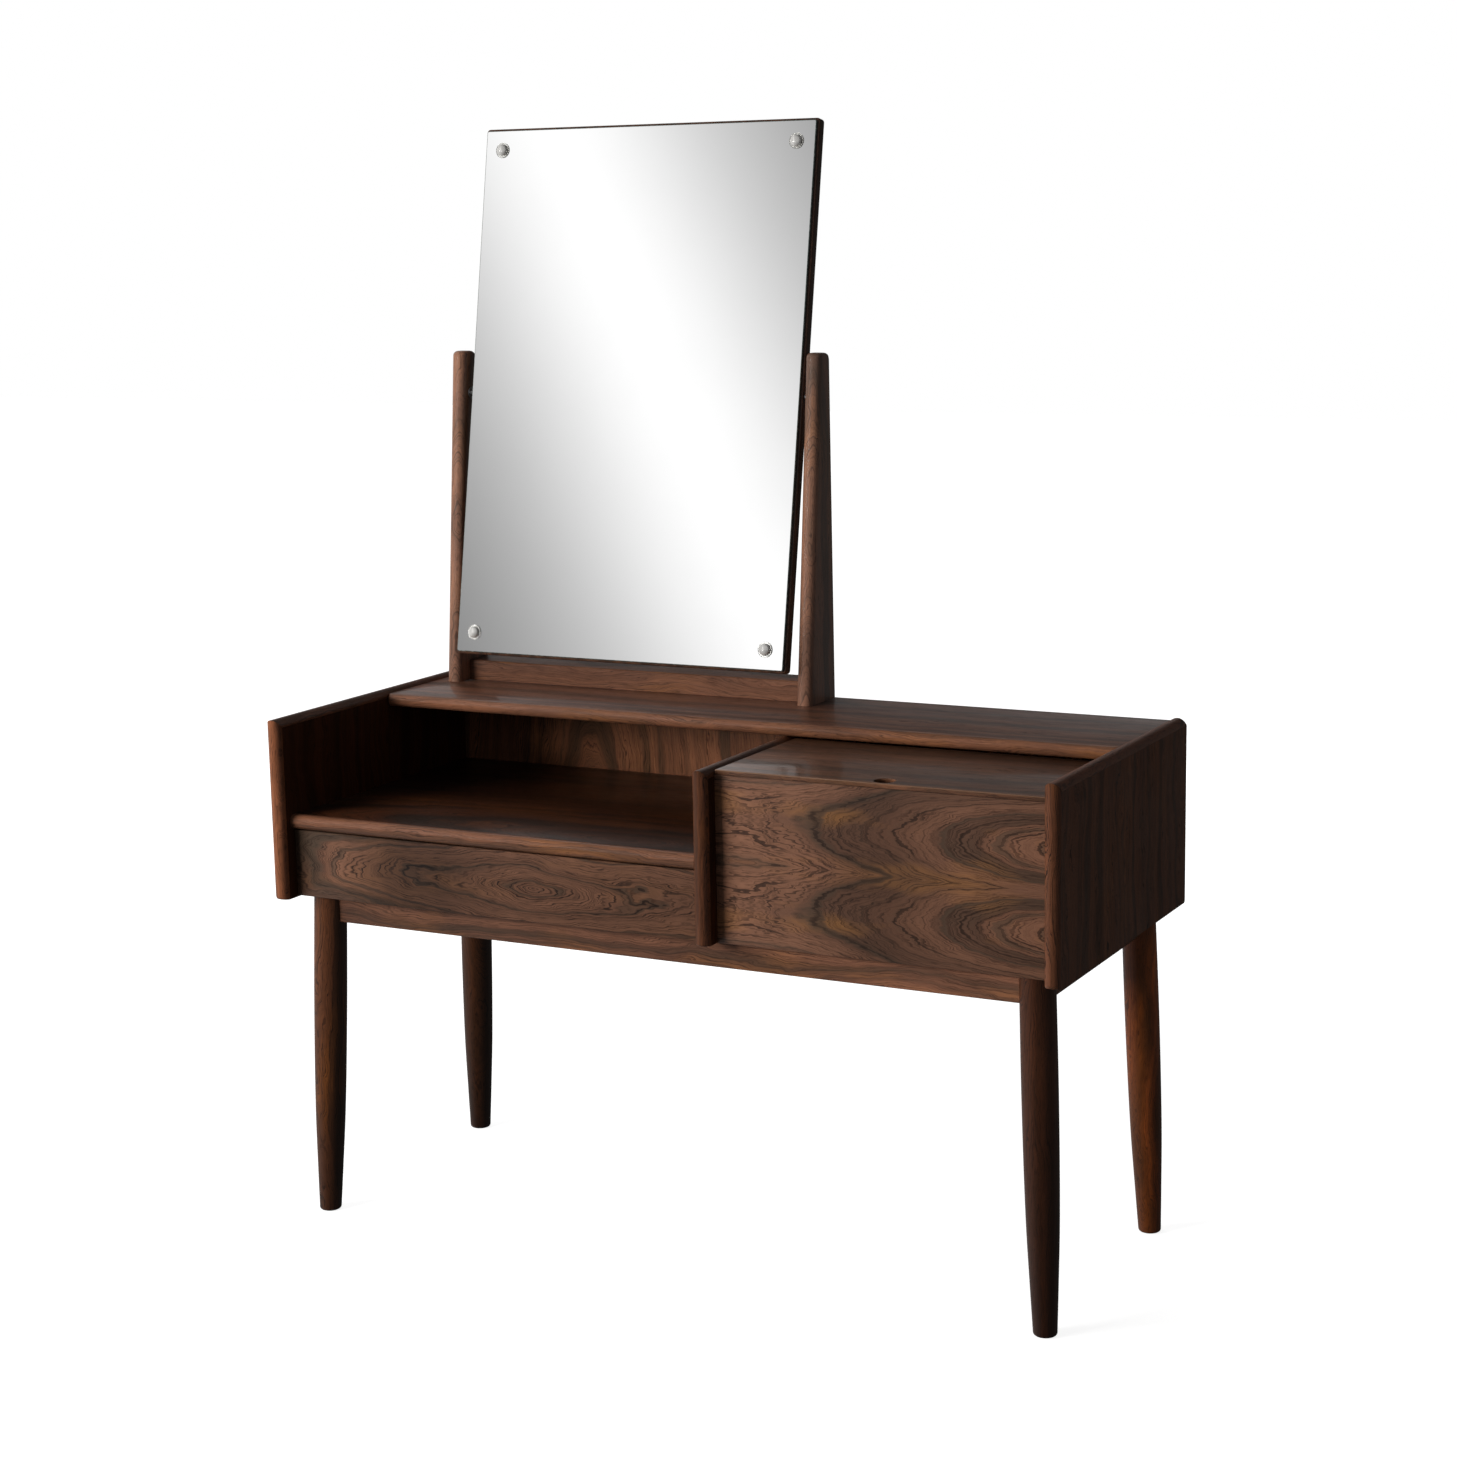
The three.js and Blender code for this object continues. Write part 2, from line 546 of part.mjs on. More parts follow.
// side is -1 for the left post and 1 for the right one.
function addPost(name, side) {
  const base = SHELF_TOP + SEAM;
  const solid = new THREE.ExtrudeGeometry(postOutline(base - 2 * POST_ROUND), {
    depth: POST_THICKNESS - 2 * POST_ROUND,
    steps: 1,
    curveSegments: 5,
    bevelThickness: POST_ROUND,
    bevelSize: POST_ROUND,
    bevelOffset: -POST_ROUND,
    bevelSegments: 3,
  });
  const outer = MIRROR_X + side * POST_SPAN / 2;
  const inner = outer - side * POST_THICKNESS;
  const low = Math.min(outer, inner);
  const post = keepInside(alongX(solid, low + POST_ROUND), postNose(low, base));
  const below = slab([low - 1, low + POST_THICKNESS + 1], [FRONT, BACK], [base - 4 * POST_ROUND, base]);
  const bore = barAlongX(PIN_BORE_RADIUS, low - 1, low + POST_THICKNESS + 1, PIVOT_Y, PIVOT_Z);
  const plugSeat = outer - side * (PLUG_DEPTH + PLUG_RECESS);
  const pocketEnds = [plugSeat, outer + side].sort((a, b) => a - b);
  const pocket = barAlongX(PLUG_RADIUS + CLEARANCE / 2, ...pocketEnds, PIVOT_Y, PIVOT_Z);
  addPiece(name, cutAway(post, below, bore, pocket), SOLID);

  const plugEnds = [plugSeat + side * SEAM, outer - side * PLUG_RECESS].sort((a, b) => a - b);
  const plug = barAlongX(PLUG_RADIUS, ...plugEnds, PIVOT_Y, PIVOT_Z);
  addPiece(`pivot_plug_${side < 0 ? 'left' : 'right'}`, plug, LEG_WOOD);
}

function addPostRail() {
  const heights = [SHELF_TOP + SEAM, SHELF_TOP + SEAM + RAIL_HEIGHT];
  const outline = roundedRectangle([RAIL_FRONT, RAIL_FRONT + RAIL_DEPTH], heights, [0, 0, 0, RAIL_ROUND]);
  const length = 2 * (POST_GAP - SEAM);
  addPiece('post_rail', alongX(extrude(outline, length), MIRROR_X - length / 2), SOLID);
}

// A thin steel washer on the inner face of a post, round the pin.
function addPivotWasher(name, side) {
  const face = MIRROR_X + side * (POST_GAP - SEAM);
  const ends = [face, face - side * PIVOT_WASHER_THICKNESS].sort((a, b) => a - b);
  const disc = barAlongX(PIVOT_WASHER_RADIUS, ...ends, PIVOT_Y, PIVOT_Z);
  const hole = barAlongX(PIN_BORE_RADIUS, ends[0] - 1, ends[1] + 1, PIVOT_Y, PIVOT_Z);
  addPiece(name, cutAway(disc, hole), STEEL);
}

for (const [name, side] of [['left', -1], ['right', 1]]) {
  addPost(`${name}_post`, side);
  addPivotWasher(`pivot_washer_${name}`, side);
}
addPostRail();

// ---------------------------------------------------------------- mirror, in its tilted group

const boardFace = -BOARD_THICKNESS / 2;
const glassBack = boardFace - SEAM;
const glassFace = glassBack - GLASS_THICKNESS;
const glassHalfWidth = BOARD_WIDTH / 2 - GLASS_BORDER;
const glassHalfHeight = BOARD_HEIGHT / 2 - GLASS_BORDER;
const screwPlaces = [
  ['top_left', -1, 1],
  ['top_right', 1, 1],
  ['bottom_left', -1, -1],
  ['bottom_right', 1, -1],
].map(([name, sideX, sideZ]) => ({
  name,
  x: sideX * (glassHalfWidth - SCREW_INSET),
  z: sideZ * (glassHalfHeight - SCREW_INSET),
}));

function addMirrorBoard() {
  const halfWidth = BOARD_WIDTH / 2;
  const halfHeight = BOARD_HEIGHT / 2;
  const radii = Array(4).fill(BOARD_CORNER);
  const outline = roundedRectangle([-halfWidth, halfWidth], [-halfHeight, halfHeight], radii);
  const solid = new THREE.ExtrudeGeometry(outline, {
    depth: BOARD_THICKNESS - 2 * BOARD_ROUND,
    steps: 1,
    curveSegments: 4,
    bevelThickness: BOARD_ROUND,
    bevelSize: BOARD_ROUND,
    bevelOffset: -BOARD_ROUND,
    bevelSegments: 2,
  });
  solid.translate(0, 0, -(BOARD_THICKNESS / 2 - BOARD_ROUND)).rotateX(Math.PI / 2);
  const pinHoles = [-1, 1].map((side) => {
    const ends = [side * (halfWidth - PIN_IN_BOARD - 1), side * (halfWidth + 1)].sort((a, b) => a - b);
    return barAlongX(PIN_BORE_RADIUS, ...ends, 0, 0);
  });
  const screwHoles = screwPlaces.map(({ x, z }) => (
    barAlongY(SCREW_SHANK_RADIUS + CLEARANCE, x, boardFace - 1, boardFace + SCREW_DEPTH + 1, z)
  ));
  addPiece('mirror_board', cutAway(solid, ...pinHoles, ...screwHoles), SOLID, mirrorGroup);
}

function addMirrorGlass() {
  const corner = Array(4).fill(2);
  const widths = [-glassHalfWidth, glassHalfWidth];
  const glass = roundedRectangle(widths, [-glassHalfHeight, glassHalfHeight], corner);
  for (const { x, z } of screwPlaces) {
    const hole = new THREE.Path();
    hole.absarc(x, z, SCREW_SHANK_RADIUS + CLEARANCE, 0, 2 * Math.PI, true);
    glass.holes.push(hole);
  }
  const geometry = extrude(glass, GLASS_THICKNESS, 6).rotateX(Math.PI / 2).translate(0, glassBack, 0);
  addPiece('mirror_glass', geometry, MIRROR, mirrorGroup);
}

// A domed chrome screw on a clear washer. The lathe's axis becomes -Y, out of the glass.
function addMirrorScrew({ name, x, z }) {
  const washerFace = glassFace - SEAM - WASHER_THICKNESS;
  const shank = -SCREW_DEPTH - (boardFace - washerFace) - SEAM;
  const rise = (SCREW_HEAD_RADIUS ** 2 + SCREW_HEAD_HEIGHT ** 2) / (2 * SCREW_HEAD_HEIGHT);
  const dome = new THREE.Path();
  const edgeAngle = Math.asin((rise - SCREW_HEAD_HEIGHT) / rise);
  dome.absarc(0, SCREW_HEAD_HEIGHT - rise, rise, edgeAngle, Math.PI / 2, false);
  const profile = [
    new THREE.Vector2(0, shank),
    new THREE.Vector2(SCREW_SHANK_RADIUS, shank),
    new THREE.Vector2(SCREW_SHANK_RADIUS, 0),
    ...dome.getPoints(6).slice(0, -1),
    new THREE.Vector2(0, SCREW_HEAD_HEIGHT),
  ];
  const screw = new THREE.LatheGeometry(profile, 20).rotateX(Math.PI);
  screw.translate(x, washerFace - SEAM, z);
  addPiece(`mirror_screw_${name}`, screw, CHROME, mirrorGroup);

  const disc = barAlongY(WASHER_RADIUS, x, washerFace, glassFace - SEAM, z, 24);
  const hole = barAlongY(SCREW_SHANK_RADIUS + CLEARANCE, x, washerFace - 1, glassFace + 1, z);
  addPiece(`screw_washer_${name}`, cutAway(disc, hole), CLEAR_PLASTIC, mirrorGroup);
}

function addPivotPin(name, side) {
  const inBoard = side * (BOARD_WIDTH / 2 - PIN_IN_BOARD);
  const inPost = side * (POST_SPAN / 2 - PLUG_DEPTH - PLUG_RECESS - 1);
  const ends = [inBoard, inPost].sort((a, b) => a - b);
  addPiece(name, barAlongX(PIN_RADIUS, ...ends, 0, 0), STEEL, mirrorGroup);
}

addMirrorBoard();
addMirrorGlass();
screwPlaces.forEach(addMirrorScrew);
addPivotPin('pivot_pin_left', -1);
addPivotPin('pivot_pin_right', 1);

export default table;
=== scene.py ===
import json
import math

import bmesh
import bpy
from mathutils import Matrix, Vector


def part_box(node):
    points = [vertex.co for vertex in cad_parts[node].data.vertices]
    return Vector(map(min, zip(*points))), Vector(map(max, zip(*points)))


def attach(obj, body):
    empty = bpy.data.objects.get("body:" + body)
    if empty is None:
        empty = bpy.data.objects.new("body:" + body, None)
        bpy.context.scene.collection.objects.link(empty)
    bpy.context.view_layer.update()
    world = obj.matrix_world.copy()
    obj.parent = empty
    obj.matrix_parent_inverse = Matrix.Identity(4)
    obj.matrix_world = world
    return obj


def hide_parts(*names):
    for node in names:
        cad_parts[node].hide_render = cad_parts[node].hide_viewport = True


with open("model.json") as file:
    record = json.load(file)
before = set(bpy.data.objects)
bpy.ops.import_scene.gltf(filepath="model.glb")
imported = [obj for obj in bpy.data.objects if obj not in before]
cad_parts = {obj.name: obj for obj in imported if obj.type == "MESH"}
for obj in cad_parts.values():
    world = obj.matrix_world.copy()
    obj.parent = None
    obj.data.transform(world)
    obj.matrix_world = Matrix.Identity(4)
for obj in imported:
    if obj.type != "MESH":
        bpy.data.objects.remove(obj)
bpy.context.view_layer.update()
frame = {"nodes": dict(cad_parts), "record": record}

MM = 0.001

# ---------------------------------------------------------------- facts from the frame
body_of = {
    node: body
    for body, nodes in frame["record"]["behaviour"]["bodies"].items()
    for node in nodes
}
tilt_joint = next(j for j in frame["record"]["behaviour"]["joints"] if j["name"] == "mirror_tilt")
PIVOT = Vector(tilt_joint["pos_m"])
MIRROR_TILT = math.radians(10)
foot_place = {m["name"]: Vector(m["pos_m"]) for m in frame["record"]["mounts"]}
HEEL_ROUND = 4 * MM
CORNERS = [
    ("front_left", -1, -1),
    ("front_right", 1, -1),
    ("back_left", -1, 1),
    ("back_right", 1, 1),
]


# ---------------------------------------------------------------- node trees
class Shader:
    """A small helper that adds nodes to one material and links them."""

    def __init__(self, name):
        self.material = bpy.data.materials.new(name)
        self.material.use_nodes = True
        self.tree = self.material.node_tree
        self.tree.nodes.clear()

    def node(self, kind, inputs=None, **settings):
        made = self.tree.nodes.new(kind)
        for key, value in settings.items():
            setattr(made, key, value)
        for key, value in (inputs or {}).items():
            self.feed(made.inputs[key], value)
        return made

    def feed(self, socket, value):
        if isinstance(value, bpy.types.NodeSocket):
            self.tree.links.new(value, socket)
        else:
            socket.default_value = value

    def math(self, operation, *values, clamp=False):
        inputs = dict(enumerate(values))
        return self.node("ShaderNodeMath", inputs, operation=operation, use_clamp=clamp).outputs[0]

    def combine(self, x, y, z):
        return self.node("ShaderNodeCombineXYZ", {0: x, 1: y, 2: z}).outputs[0]

    def scaled(self, *pairs):
        """A place whose three coordinates are each multiplied by a number of their own."""
        return self.combine(*(self.math("MULTIPLY", value, scale) for value, scale in pairs))

    def noise(self, where, scale, detail=2.0, rough=0.5):
        inputs = {"Vector": where, "Scale": scale, "Detail": detail, "Roughness": rough}
        return self.node("ShaderNodeTexNoise", inputs).outputs["Fac"]

    def noise_line(self, where, scale, detail=2.0, rough=0.5):
        inputs = {"W": where, "Scale": scale, "Detail": detail, "Roughness": rough}
        return self.node("ShaderNodeTexNoise", inputs, noise_dimensions="1D").outputs["Fac"]

    def spread(self, value, low, high, to_low=0.0, to_high=1.0):
        inputs = {0: value, 1: low, 2: high, 3: to_low, 4: to_high}
        return self.node("ShaderNodeMapRange", inputs, clamp=True).outputs[0]

    def mix(self, share, first, second, blend="MIX"):
        """Mixes two colours, each a socket or a triple. Sockets 6, 7 and 2 are the colours."""
        made = self.node("ShaderNodeMix", data_type="RGBA", blend_type=blend)
        self.feed(made.inputs[0], share)
        for socket, colour in ((6, first), (7, second)):
            linked = isinstance(colour, bpy.types.NodeSocket)
            self.feed(made.inputs[socket], colour if linked else (*colour, 1))
        return made.outputs[2]

    def axes(self, along, across):
        """Object coordinates, split into along the grain, across it and into the board."""
        place = self.node("ShaderNodeTexCoord").outputs["Object"]
        split = self.node("ShaderNodeSeparateXYZ", {0: place}).outputs
        depth = next(axis for axis in "XYZ" if axis not in (along, across))
        return split[along], split[across], split[depth]

    def bump(self, height, strength, distance):
        inputs = {"Height": height, "Strength": strength, "Distance": distance}
        return self.node("ShaderNodeBump", inputs).outputs[0]

    def finish(self, sockets):
        shader = self.node("ShaderNodeBsdfPrincipled", sockets)
        output = self.node("ShaderNodeOutputMaterial")
        self.tree.links.new(shader.outputs[0], output.inputs[0])
        return self.material


# ---------------------------------------------------------------- rosewood
VEIN = (0.018, 0.009, 0.006)
DUSK = (0.046, 0.031, 0.021)
BROWN = (0.086, 0.041, 0.026)
REDDISH = (0.150, 0.070, 0.042)
GOLD = (0.240, 0.105, 0.034)
# Pale edge line: partly the paler wood of a solid lip, partly a painted highlight.
LIP_AND_HIGHLIGHT = (0.160, 0.085, 0.050)
HEART_SMOOTHING = 0.08
RING_LEAN = 0.4


def ring_distance(s, a, b, c, stretch, reach, warp, seed):
    """Wavy distance from the heart of the tree, in metres, at a point of the board. Each wobble
    has its waves per metre along and across the grain, and its size in metres."""
    def wobble(along, across, amount):
        where = s.combine(s.math("MULTIPLY_ADD", a, along, seed), s.math("MULTIPLY", b, across), c)
        return s.math("MULTIPLY", s.math("SUBTRACT", s.noise(where, 1, 1, 0.5), 0.5), 2 * amount)

    capped = s.math("SMOOTH_MIN", s.math("ABSOLUTE", a), reach, HEART_SMOOTHING)
    flat = s.math("MULTIPLY", capped, stretch)
    square = s.math("MULTIPLY_ADD", b, b, s.math("MULTIPLY", flat, flat))
    ring = s.math("SQRT", square)
    wobbles = ((6, 16, 0.020 * warp), (24, 70, 0.005 * warp), (70, 300, 0.0012))
    for along, across, amount in wobbles:
        ring = s.math("ADD", ring, wobble(along, across, amount))
    return s.math("ADD", s.math("MULTIPLY_ADD", c, RING_LEAN, ring), seed)


def figure_colour(s, a, b, c, ring, zones, bands, veins, gold, seed):
    """Colour of the figure: broad zones, gold patches, middle bands and narrow dark veins."""
    def patch(along_scale, across_scale, shift):
        shifted = s.math("MULTIPLY_ADD", a, along_scale, shift)
        return s.noise(s.combine(shifted, s.math("MULTIPLY", b, across_scale), c), 1, 2, 0.55)

    broad = s.noise_line(ring, 42, 1, 0.5)
    middle = s.noise_line(ring, 170, 2, 0.6)
    narrow = s.noise_line(ring, 820, 2, 0.65)
    where_dark = s.spread(patch(5, 14, seed + 11), 0.38, 0.62, 0.35, 1.0)
    where_vein = s.spread(patch(12, 34, seed + 23), 0.38, 0.56, 0.35, 1.0)
    where_gold = s.spread(patch(6, 18, seed + 37), 0.50, 0.70)

    ground = s.mix(s.spread(broad, 0.36, 0.60), BROWN, REDDISH)
    shade = s.math("MULTIPLY", s.spread(broad, 0.47, 0.34, 0, zones), where_dark)
    ground = s.mix(shade, ground, DUSK)
    glow = s.math("MULTIPLY", where_gold, s.spread(middle, 0.40, 0.60, 0.4, 1.0))
    ground = s.mix(s.math("MULTIPLY", glow, gold), ground, GOLD)
    banded = s.mix(s.spread(middle, 0.48, 0.32, 0, bands), ground, DUSK)
    line = s.math("MULTIPLY", s.spread(narrow, 0.47, 0.37, 0, veins), where_vein)
    return s.mix(line, banded, VEIN)


def lip_and_highlight_line(s, colour, b, c, lip_highlight):
    """Paints a pale line where two faces of a board meet: partly the paler wood of a solid lip,
    partly a painted highlight along the edge.
    """
    edge_across, edge_depth, width = lip_highlight
    off_across = s.math("ABSOLUTE", s.math("SUBTRACT", b, edge_across))
    off_depth = s.math("ABSOLUTE", s.math("SUBTRACT", c, edge_depth))
    off = s.math("MAXIMUM", off_across, off_depth)
    return s.mix(s.spread(off, width, 0.7 * width), colour, LIP_AND_HIGHLIGHT)


def rosewood(name, along, across, centre, stretch=0.2, reach=0.6, fold=None, warp=1.0, zones=0.6,
             bands=0.35, veins=0.7, lightness=1.0, gold=0.3, coat=0.1, specular=0.3, rough=0.42,
             seed=0.0, lip_highlight=None, tint=(1.0, 1.0, 1.0), fades=(), coat_rough=0.18):
    """Figured rosewood. The rings are nested ellipses round centre = (along, across), in
    metres: stretch is their height over their length, so a far centre gives straight grain
    and a near one gives flames. reach caps how far they narrow along the board. fold mirrors
    the figure about a value across the grain, as book-matched veneer does. zones, bands,
    veins and gold are the strengths of the parts of the figure. lip_highlight = (across,
    depth, width) marks a pale line along an edge, partly the paler wood of a solid lip and
    partly a painted highlight. Each of fades = (start, end, level before, level after)
    darkens or lightens the wood along the grain."""
    s = Shader(name)
    a_true, b_true, c = s.axes(along, across)
    b = b_true
    if fold is not None:
        b = s.math("ABSOLUTE", s.math("SUBTRACT", b, fold))
    a = s.math("SUBTRACT", a_true, centre[0])
    b = s.math("SUBTRACT", b, centre[1])
    ring = ring_distance(s, a, b, c, stretch, reach, warp, seed)
    fibre = s.noise(s.scaled((a, 45), (ring, 1400), (c, 1400)), 1, 2, 0.6)
    pores = s.spread(fibre, 0.45, 0.30, 0, 0.60)

    colour = figure_colour(s, a, b, c, ring, zones, bands, veins, gold, seed)
    colour = s.mix(pores, colour, VEIN)
    level = s.spread(fibre, 0.40, 0.72, 0.88 * lightness, 1.14 * lightness)
    for start, end, before, after in fades:
        level = s.math("MULTIPLY", level, s.spread(a_true, start, end, before, after))
    channels = [s.math("MULTIPLY", level, share) for share in tint]
    colour = s.mix(1.0, colour, s.combine(*channels), "MULTIPLY")
    # Painted highlight along an edge, partly the paler wood of a solid lip.
    if lip_highlight is not None:
        colour = lip_and_highlight_line(s, colour, b_true, c, lip_highlight)

    smear = s.noise(s.scaled((a, 9), (b, 22), (c, 1)), 1, 2, 0.6)
    polish = s.spread(smear, 0.3, 0.7, rough - 0.05, rough + 0.06)
    height = s.math("SUBTRACT", s.math("MULTIPLY", fibre, 0.4), pores)
    return s.finish({
        "Base Color": colour,
        "Roughness": s.math("MULTIPLY_ADD", pores, 0.25, polish),
        "Specular IOR Level": specular,
        "Coat Weight": coat,
        "Coat Roughness": coat_rough,
        "Normal": s.bump(height, 0.18, 0.0004),
    })


def plain_wood(name, along, across, light, dark, rough=0.55):
    """Pale straight-grained wood for what is hidden inside the case."""
    s = Shader(name)
    a, b, c = s.axes(along, across)
    grain = s.noise(s.scaled((a, 5), (b, 130), (c, 130)), 1, 4, 0.6)
    flecks = s.noise(s.scaled((a, 60), (b, 900), (c, 900)), 1, 2, 0.6)
    stain = s.noise(s.combine(a, b, c), 7, 3, 0.6)
    colour = s.mix(s.spread(grain, 0.35, 0.65), dark, light)
    colour = s.mix(s.spread(flecks, 0.42, 0.30, 0, 0.5), colour, dark)
    colour = s.mix(s.spread(stain, 0.55, 0.75, 0, 0.35), colour, dark)
    return s.finish({
        "Base Color": colour,
        "Roughness": s.spread(stain, 0.3, 0.7, rough - 0.08, rough + 0.08),
        "Normal": s.bump(grain, 0.15, 0.0005),
    })


# ---------------------------------------------------------------- metal, glass, plastic
def metal(name, colour, rough, scratch, metallic=1.0):
    s = Shader(name)
    place = s.node("ShaderNodeTexCoord").outputs["Object"]
    smear = s.noise(place, 90, 3, 0.6)
    lines = s.noise(place, 1400, 2, 0.6)
    tint = s.mix(s.spread(smear, 0.35, 0.7), colour, tuple(0.86 * v for v in colour))
    return s.finish({
        "Base Color": tint,
        "Metallic": metallic,
        "Roughness": s.spread(smear, 0.3, 0.7, rough, rough + 0.10),
        "Normal": s.bump(lines, scratch, 0.0001),
    })


def silvered_glass():
    s = Shader("silvered_glass")
    place = s.node("ShaderNodeTexCoord").outputs["Object"]
    haze = s.noise(place, 6, 4, 0.6)
    specks = s.noise(place, 420, 2, 0.5)
    tint = s.mix(s.spread(haze, 0.4, 0.7), (0.95, 0.95, 0.95), (0.935, 0.935, 0.935))
    tint = s.mix(s.spread(specks, 0.76, 0.80, 0, 0.25), tint, (0.6, 0.6, 0.6))
    return s.finish({
        "Base Color": tint,
        "Metallic": 1.0,
        "Roughness": s.spread(haze, 0.35, 0.75, 0.012, 0.035),
    })


def glass_edge():
    s = Shader("glass_edge")
    place = s.node("ShaderNodeTexCoord").outputs["Object"]
    chips = s.noise(place, 260, 3, 0.6)
    tint = s.mix(s.spread(chips, 0.4, 0.7), (0.10, 0.13, 0.12), (0.30, 0.35, 0.33))
    return s.finish({
        "Base Color": tint,
        "Metallic": 0.35,
        "Roughness": s.spread(chips, 0.3, 0.7, 0.12, 0.32),
        "Normal": s.bump(chips, 0.2, 0.0002),
    })


def clear_washer():
    s = Shader("clear_washer")
    place = s.node("ShaderNodeTexCoord").outputs["Object"]
    cloudy = s.noise(place, 150, 3, 0.6)
    tint = s.mix(s.spread(cloudy, 0.35, 0.7), (0.93, 0.93, 0.91), (0.86, 0.85, 0.82))
    return s.finish({
        "Base Color": tint,
        "Roughness": s.spread(cloudy, 0.3, 0.7, 0.06, 0.14),
        "Transmission Weight": 0.9,
        "Normal": s.bump(cloudy, 0.1, 0.0001),
    })


# ---------------------------------------------------------------- meshes
HOLE_SIDES = 48
LEG_SIDES = 56
TURNED_SIDES = 40
MITRE_GAP = 0.1 * MM
LEG_TOP_RADIUS = 21.8 * MM
LEG_FOOT_RADIUS = 14.7 * MM
LEG_FOOT_ROUND = 4 * MM
LEG_SPLAY_X = 15 * MM
LEG_SPLAY_Y = 12 * MM


def to_object(bm, name, sharp_angle=35):
    """Turns a bmesh into a smooth-shaded object whose hard corners stay crisp."""
    bmesh.ops.recalc_face_normals(bm, faces=bm.faces)
    limit = math.radians(sharp_angle)
    for face in bm.faces:
        face.smooth = True
    for edge in bm.edges:
        edge.smooth = len(edge.link_faces) == 2 and edge.calc_face_angle() < limit
    mesh = bpy.data.meshes.new(name)
    bm.to_mesh(mesh)
    bm.free()
    made = bpy.data.objects.new(name, mesh)
    bpy.context.scene.collection.objects.link(made)
    return made


def keep(piece, node, material):
    """Gives a piece its material and body, and lets it stand for the CAD node."""
    piece.data.materials.append(material)
    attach(piece, body_of[node])
    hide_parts(node)
    return piece


def dress(node, material):
    """Keeps a CAD solid whose shape is already right and gives it a better material."""
    solid = frame["nodes"][node]
    solid.data.materials.clear()
    solid.data.materials.append(material)


def box_mesh(low, high):
    bm = bmesh.new()
    bmesh.ops.create_cube(bm, size=1)
    size = high - low
    for vert in bm.verts:
        vert.co = Vector((low[i] + (vert.co[i] + 0.5) * size[i] for i in range(3)))
    return bm


def bevel(bm, edges, radius, segments=3):
    bmesh.ops.bevel(bm, geom=list(edges), offset=radius, offset_type="OFFSET", segments=segments,
                    profile=0.5, affect="EDGES", clamp_overlap=True)


def board(node, material, radius=0.8 * MM):
    """A board with softly broken edges, in the box that the CAD node fills."""
    low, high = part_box(node)
    bm = box_mesh(low, high)
    bevel(bm, bm.edges, radius)
    return keep(to_object(bm, f"{node}_piece"), node, material)


def circle(radius, sides):
    angles = [2 * math.pi * i / sides for i in range(sides)]
    return [(radius * math.cos(t), radius * math.sin(t)) for t in angles]


def sweep(bm, sections):
    """Skins a list of equal, closed sections of points and closes both ends."""
    loops = [[bm.verts.new(point) for point in section] for section in sections]
    count = len(loops[0])
    for first, second in zip(loops, loops[1:]):
        for i in range(count):
            j = (i + 1) % count
            bm.faces.new((first[i], first[j], second[j], second[i]))
    bm.faces.new(list(reversed(loops[0])))
    bm.faces.new(loops[-1])


def drill(piece, centre, radius, low, high, rim=0.7 * MM):
    """Cuts a round hole with a softly broken upper rim."""
    rings = [
        (radius, low),
        (radius, high - rim),
        (radius + 0.3 * rim, high - 0.3 * rim),
        (radius + rim, high),
        (radius + rim, high + MM),
    ]
    bm = bmesh.new()
    sweep(bm, [
        [(centre[0] + x, centre[1] + y, z) for x, y in circle(ring_radius, HOLE_SIDES)]
        for ring_radius, z in rings
    ])
    cutter = to_object(bm, "cutter")
    modifier = piece.modifiers.new("hole", "BOOLEAN")
    modifier.operation = "DIFFERENCE"
    modifier.solver = "EXACT"
    modifier.object = cutter
    bpy.context.view_layer.update()
    evaluated = piece.evaluated_get(bpy.context.evaluated_depsgraph_get())
    mesh = bpy.data.meshes.new_from_object(evaluated)
    piece.modifiers.clear()
    piece.data = mesh
    bpy.data.objects.remove(cutter)


def arc(centre, radius, start, end, steps):
    angles = [math.radians(start + (end - start) * i / steps) for i in range(steps + 1)]
    return [(centre[0] + radius * math.cos(t), centre[1] + radius * math.sin(t)) for t in angles]


def edging_section(width, depth, radius):
    """Outline of a solid edging: (across, depth) with the two outer edges rounded."""
    steps = 8
    return (arc((radius, radius), radius, 180, 270, steps)
            + arc((width - radius, radius), radius, 270, 360, steps)
            + [(width, depth), (0, depth)])


def upright_panel(node, material):
    """The core of an upright panel, with its low back corner rounded."""
    low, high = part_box(node)
    bm = box_mesh(low, high)
    heel = [
        e for e in bm.edges
        if all(v.co.y > high.y - MM and v.co.z < low.z + MM for v in e.verts)
    ]
    bevel(bm, heel, HEEL_ROUND, 5)
    keep(to_object(bm, f"{node}_piece"), node, material)


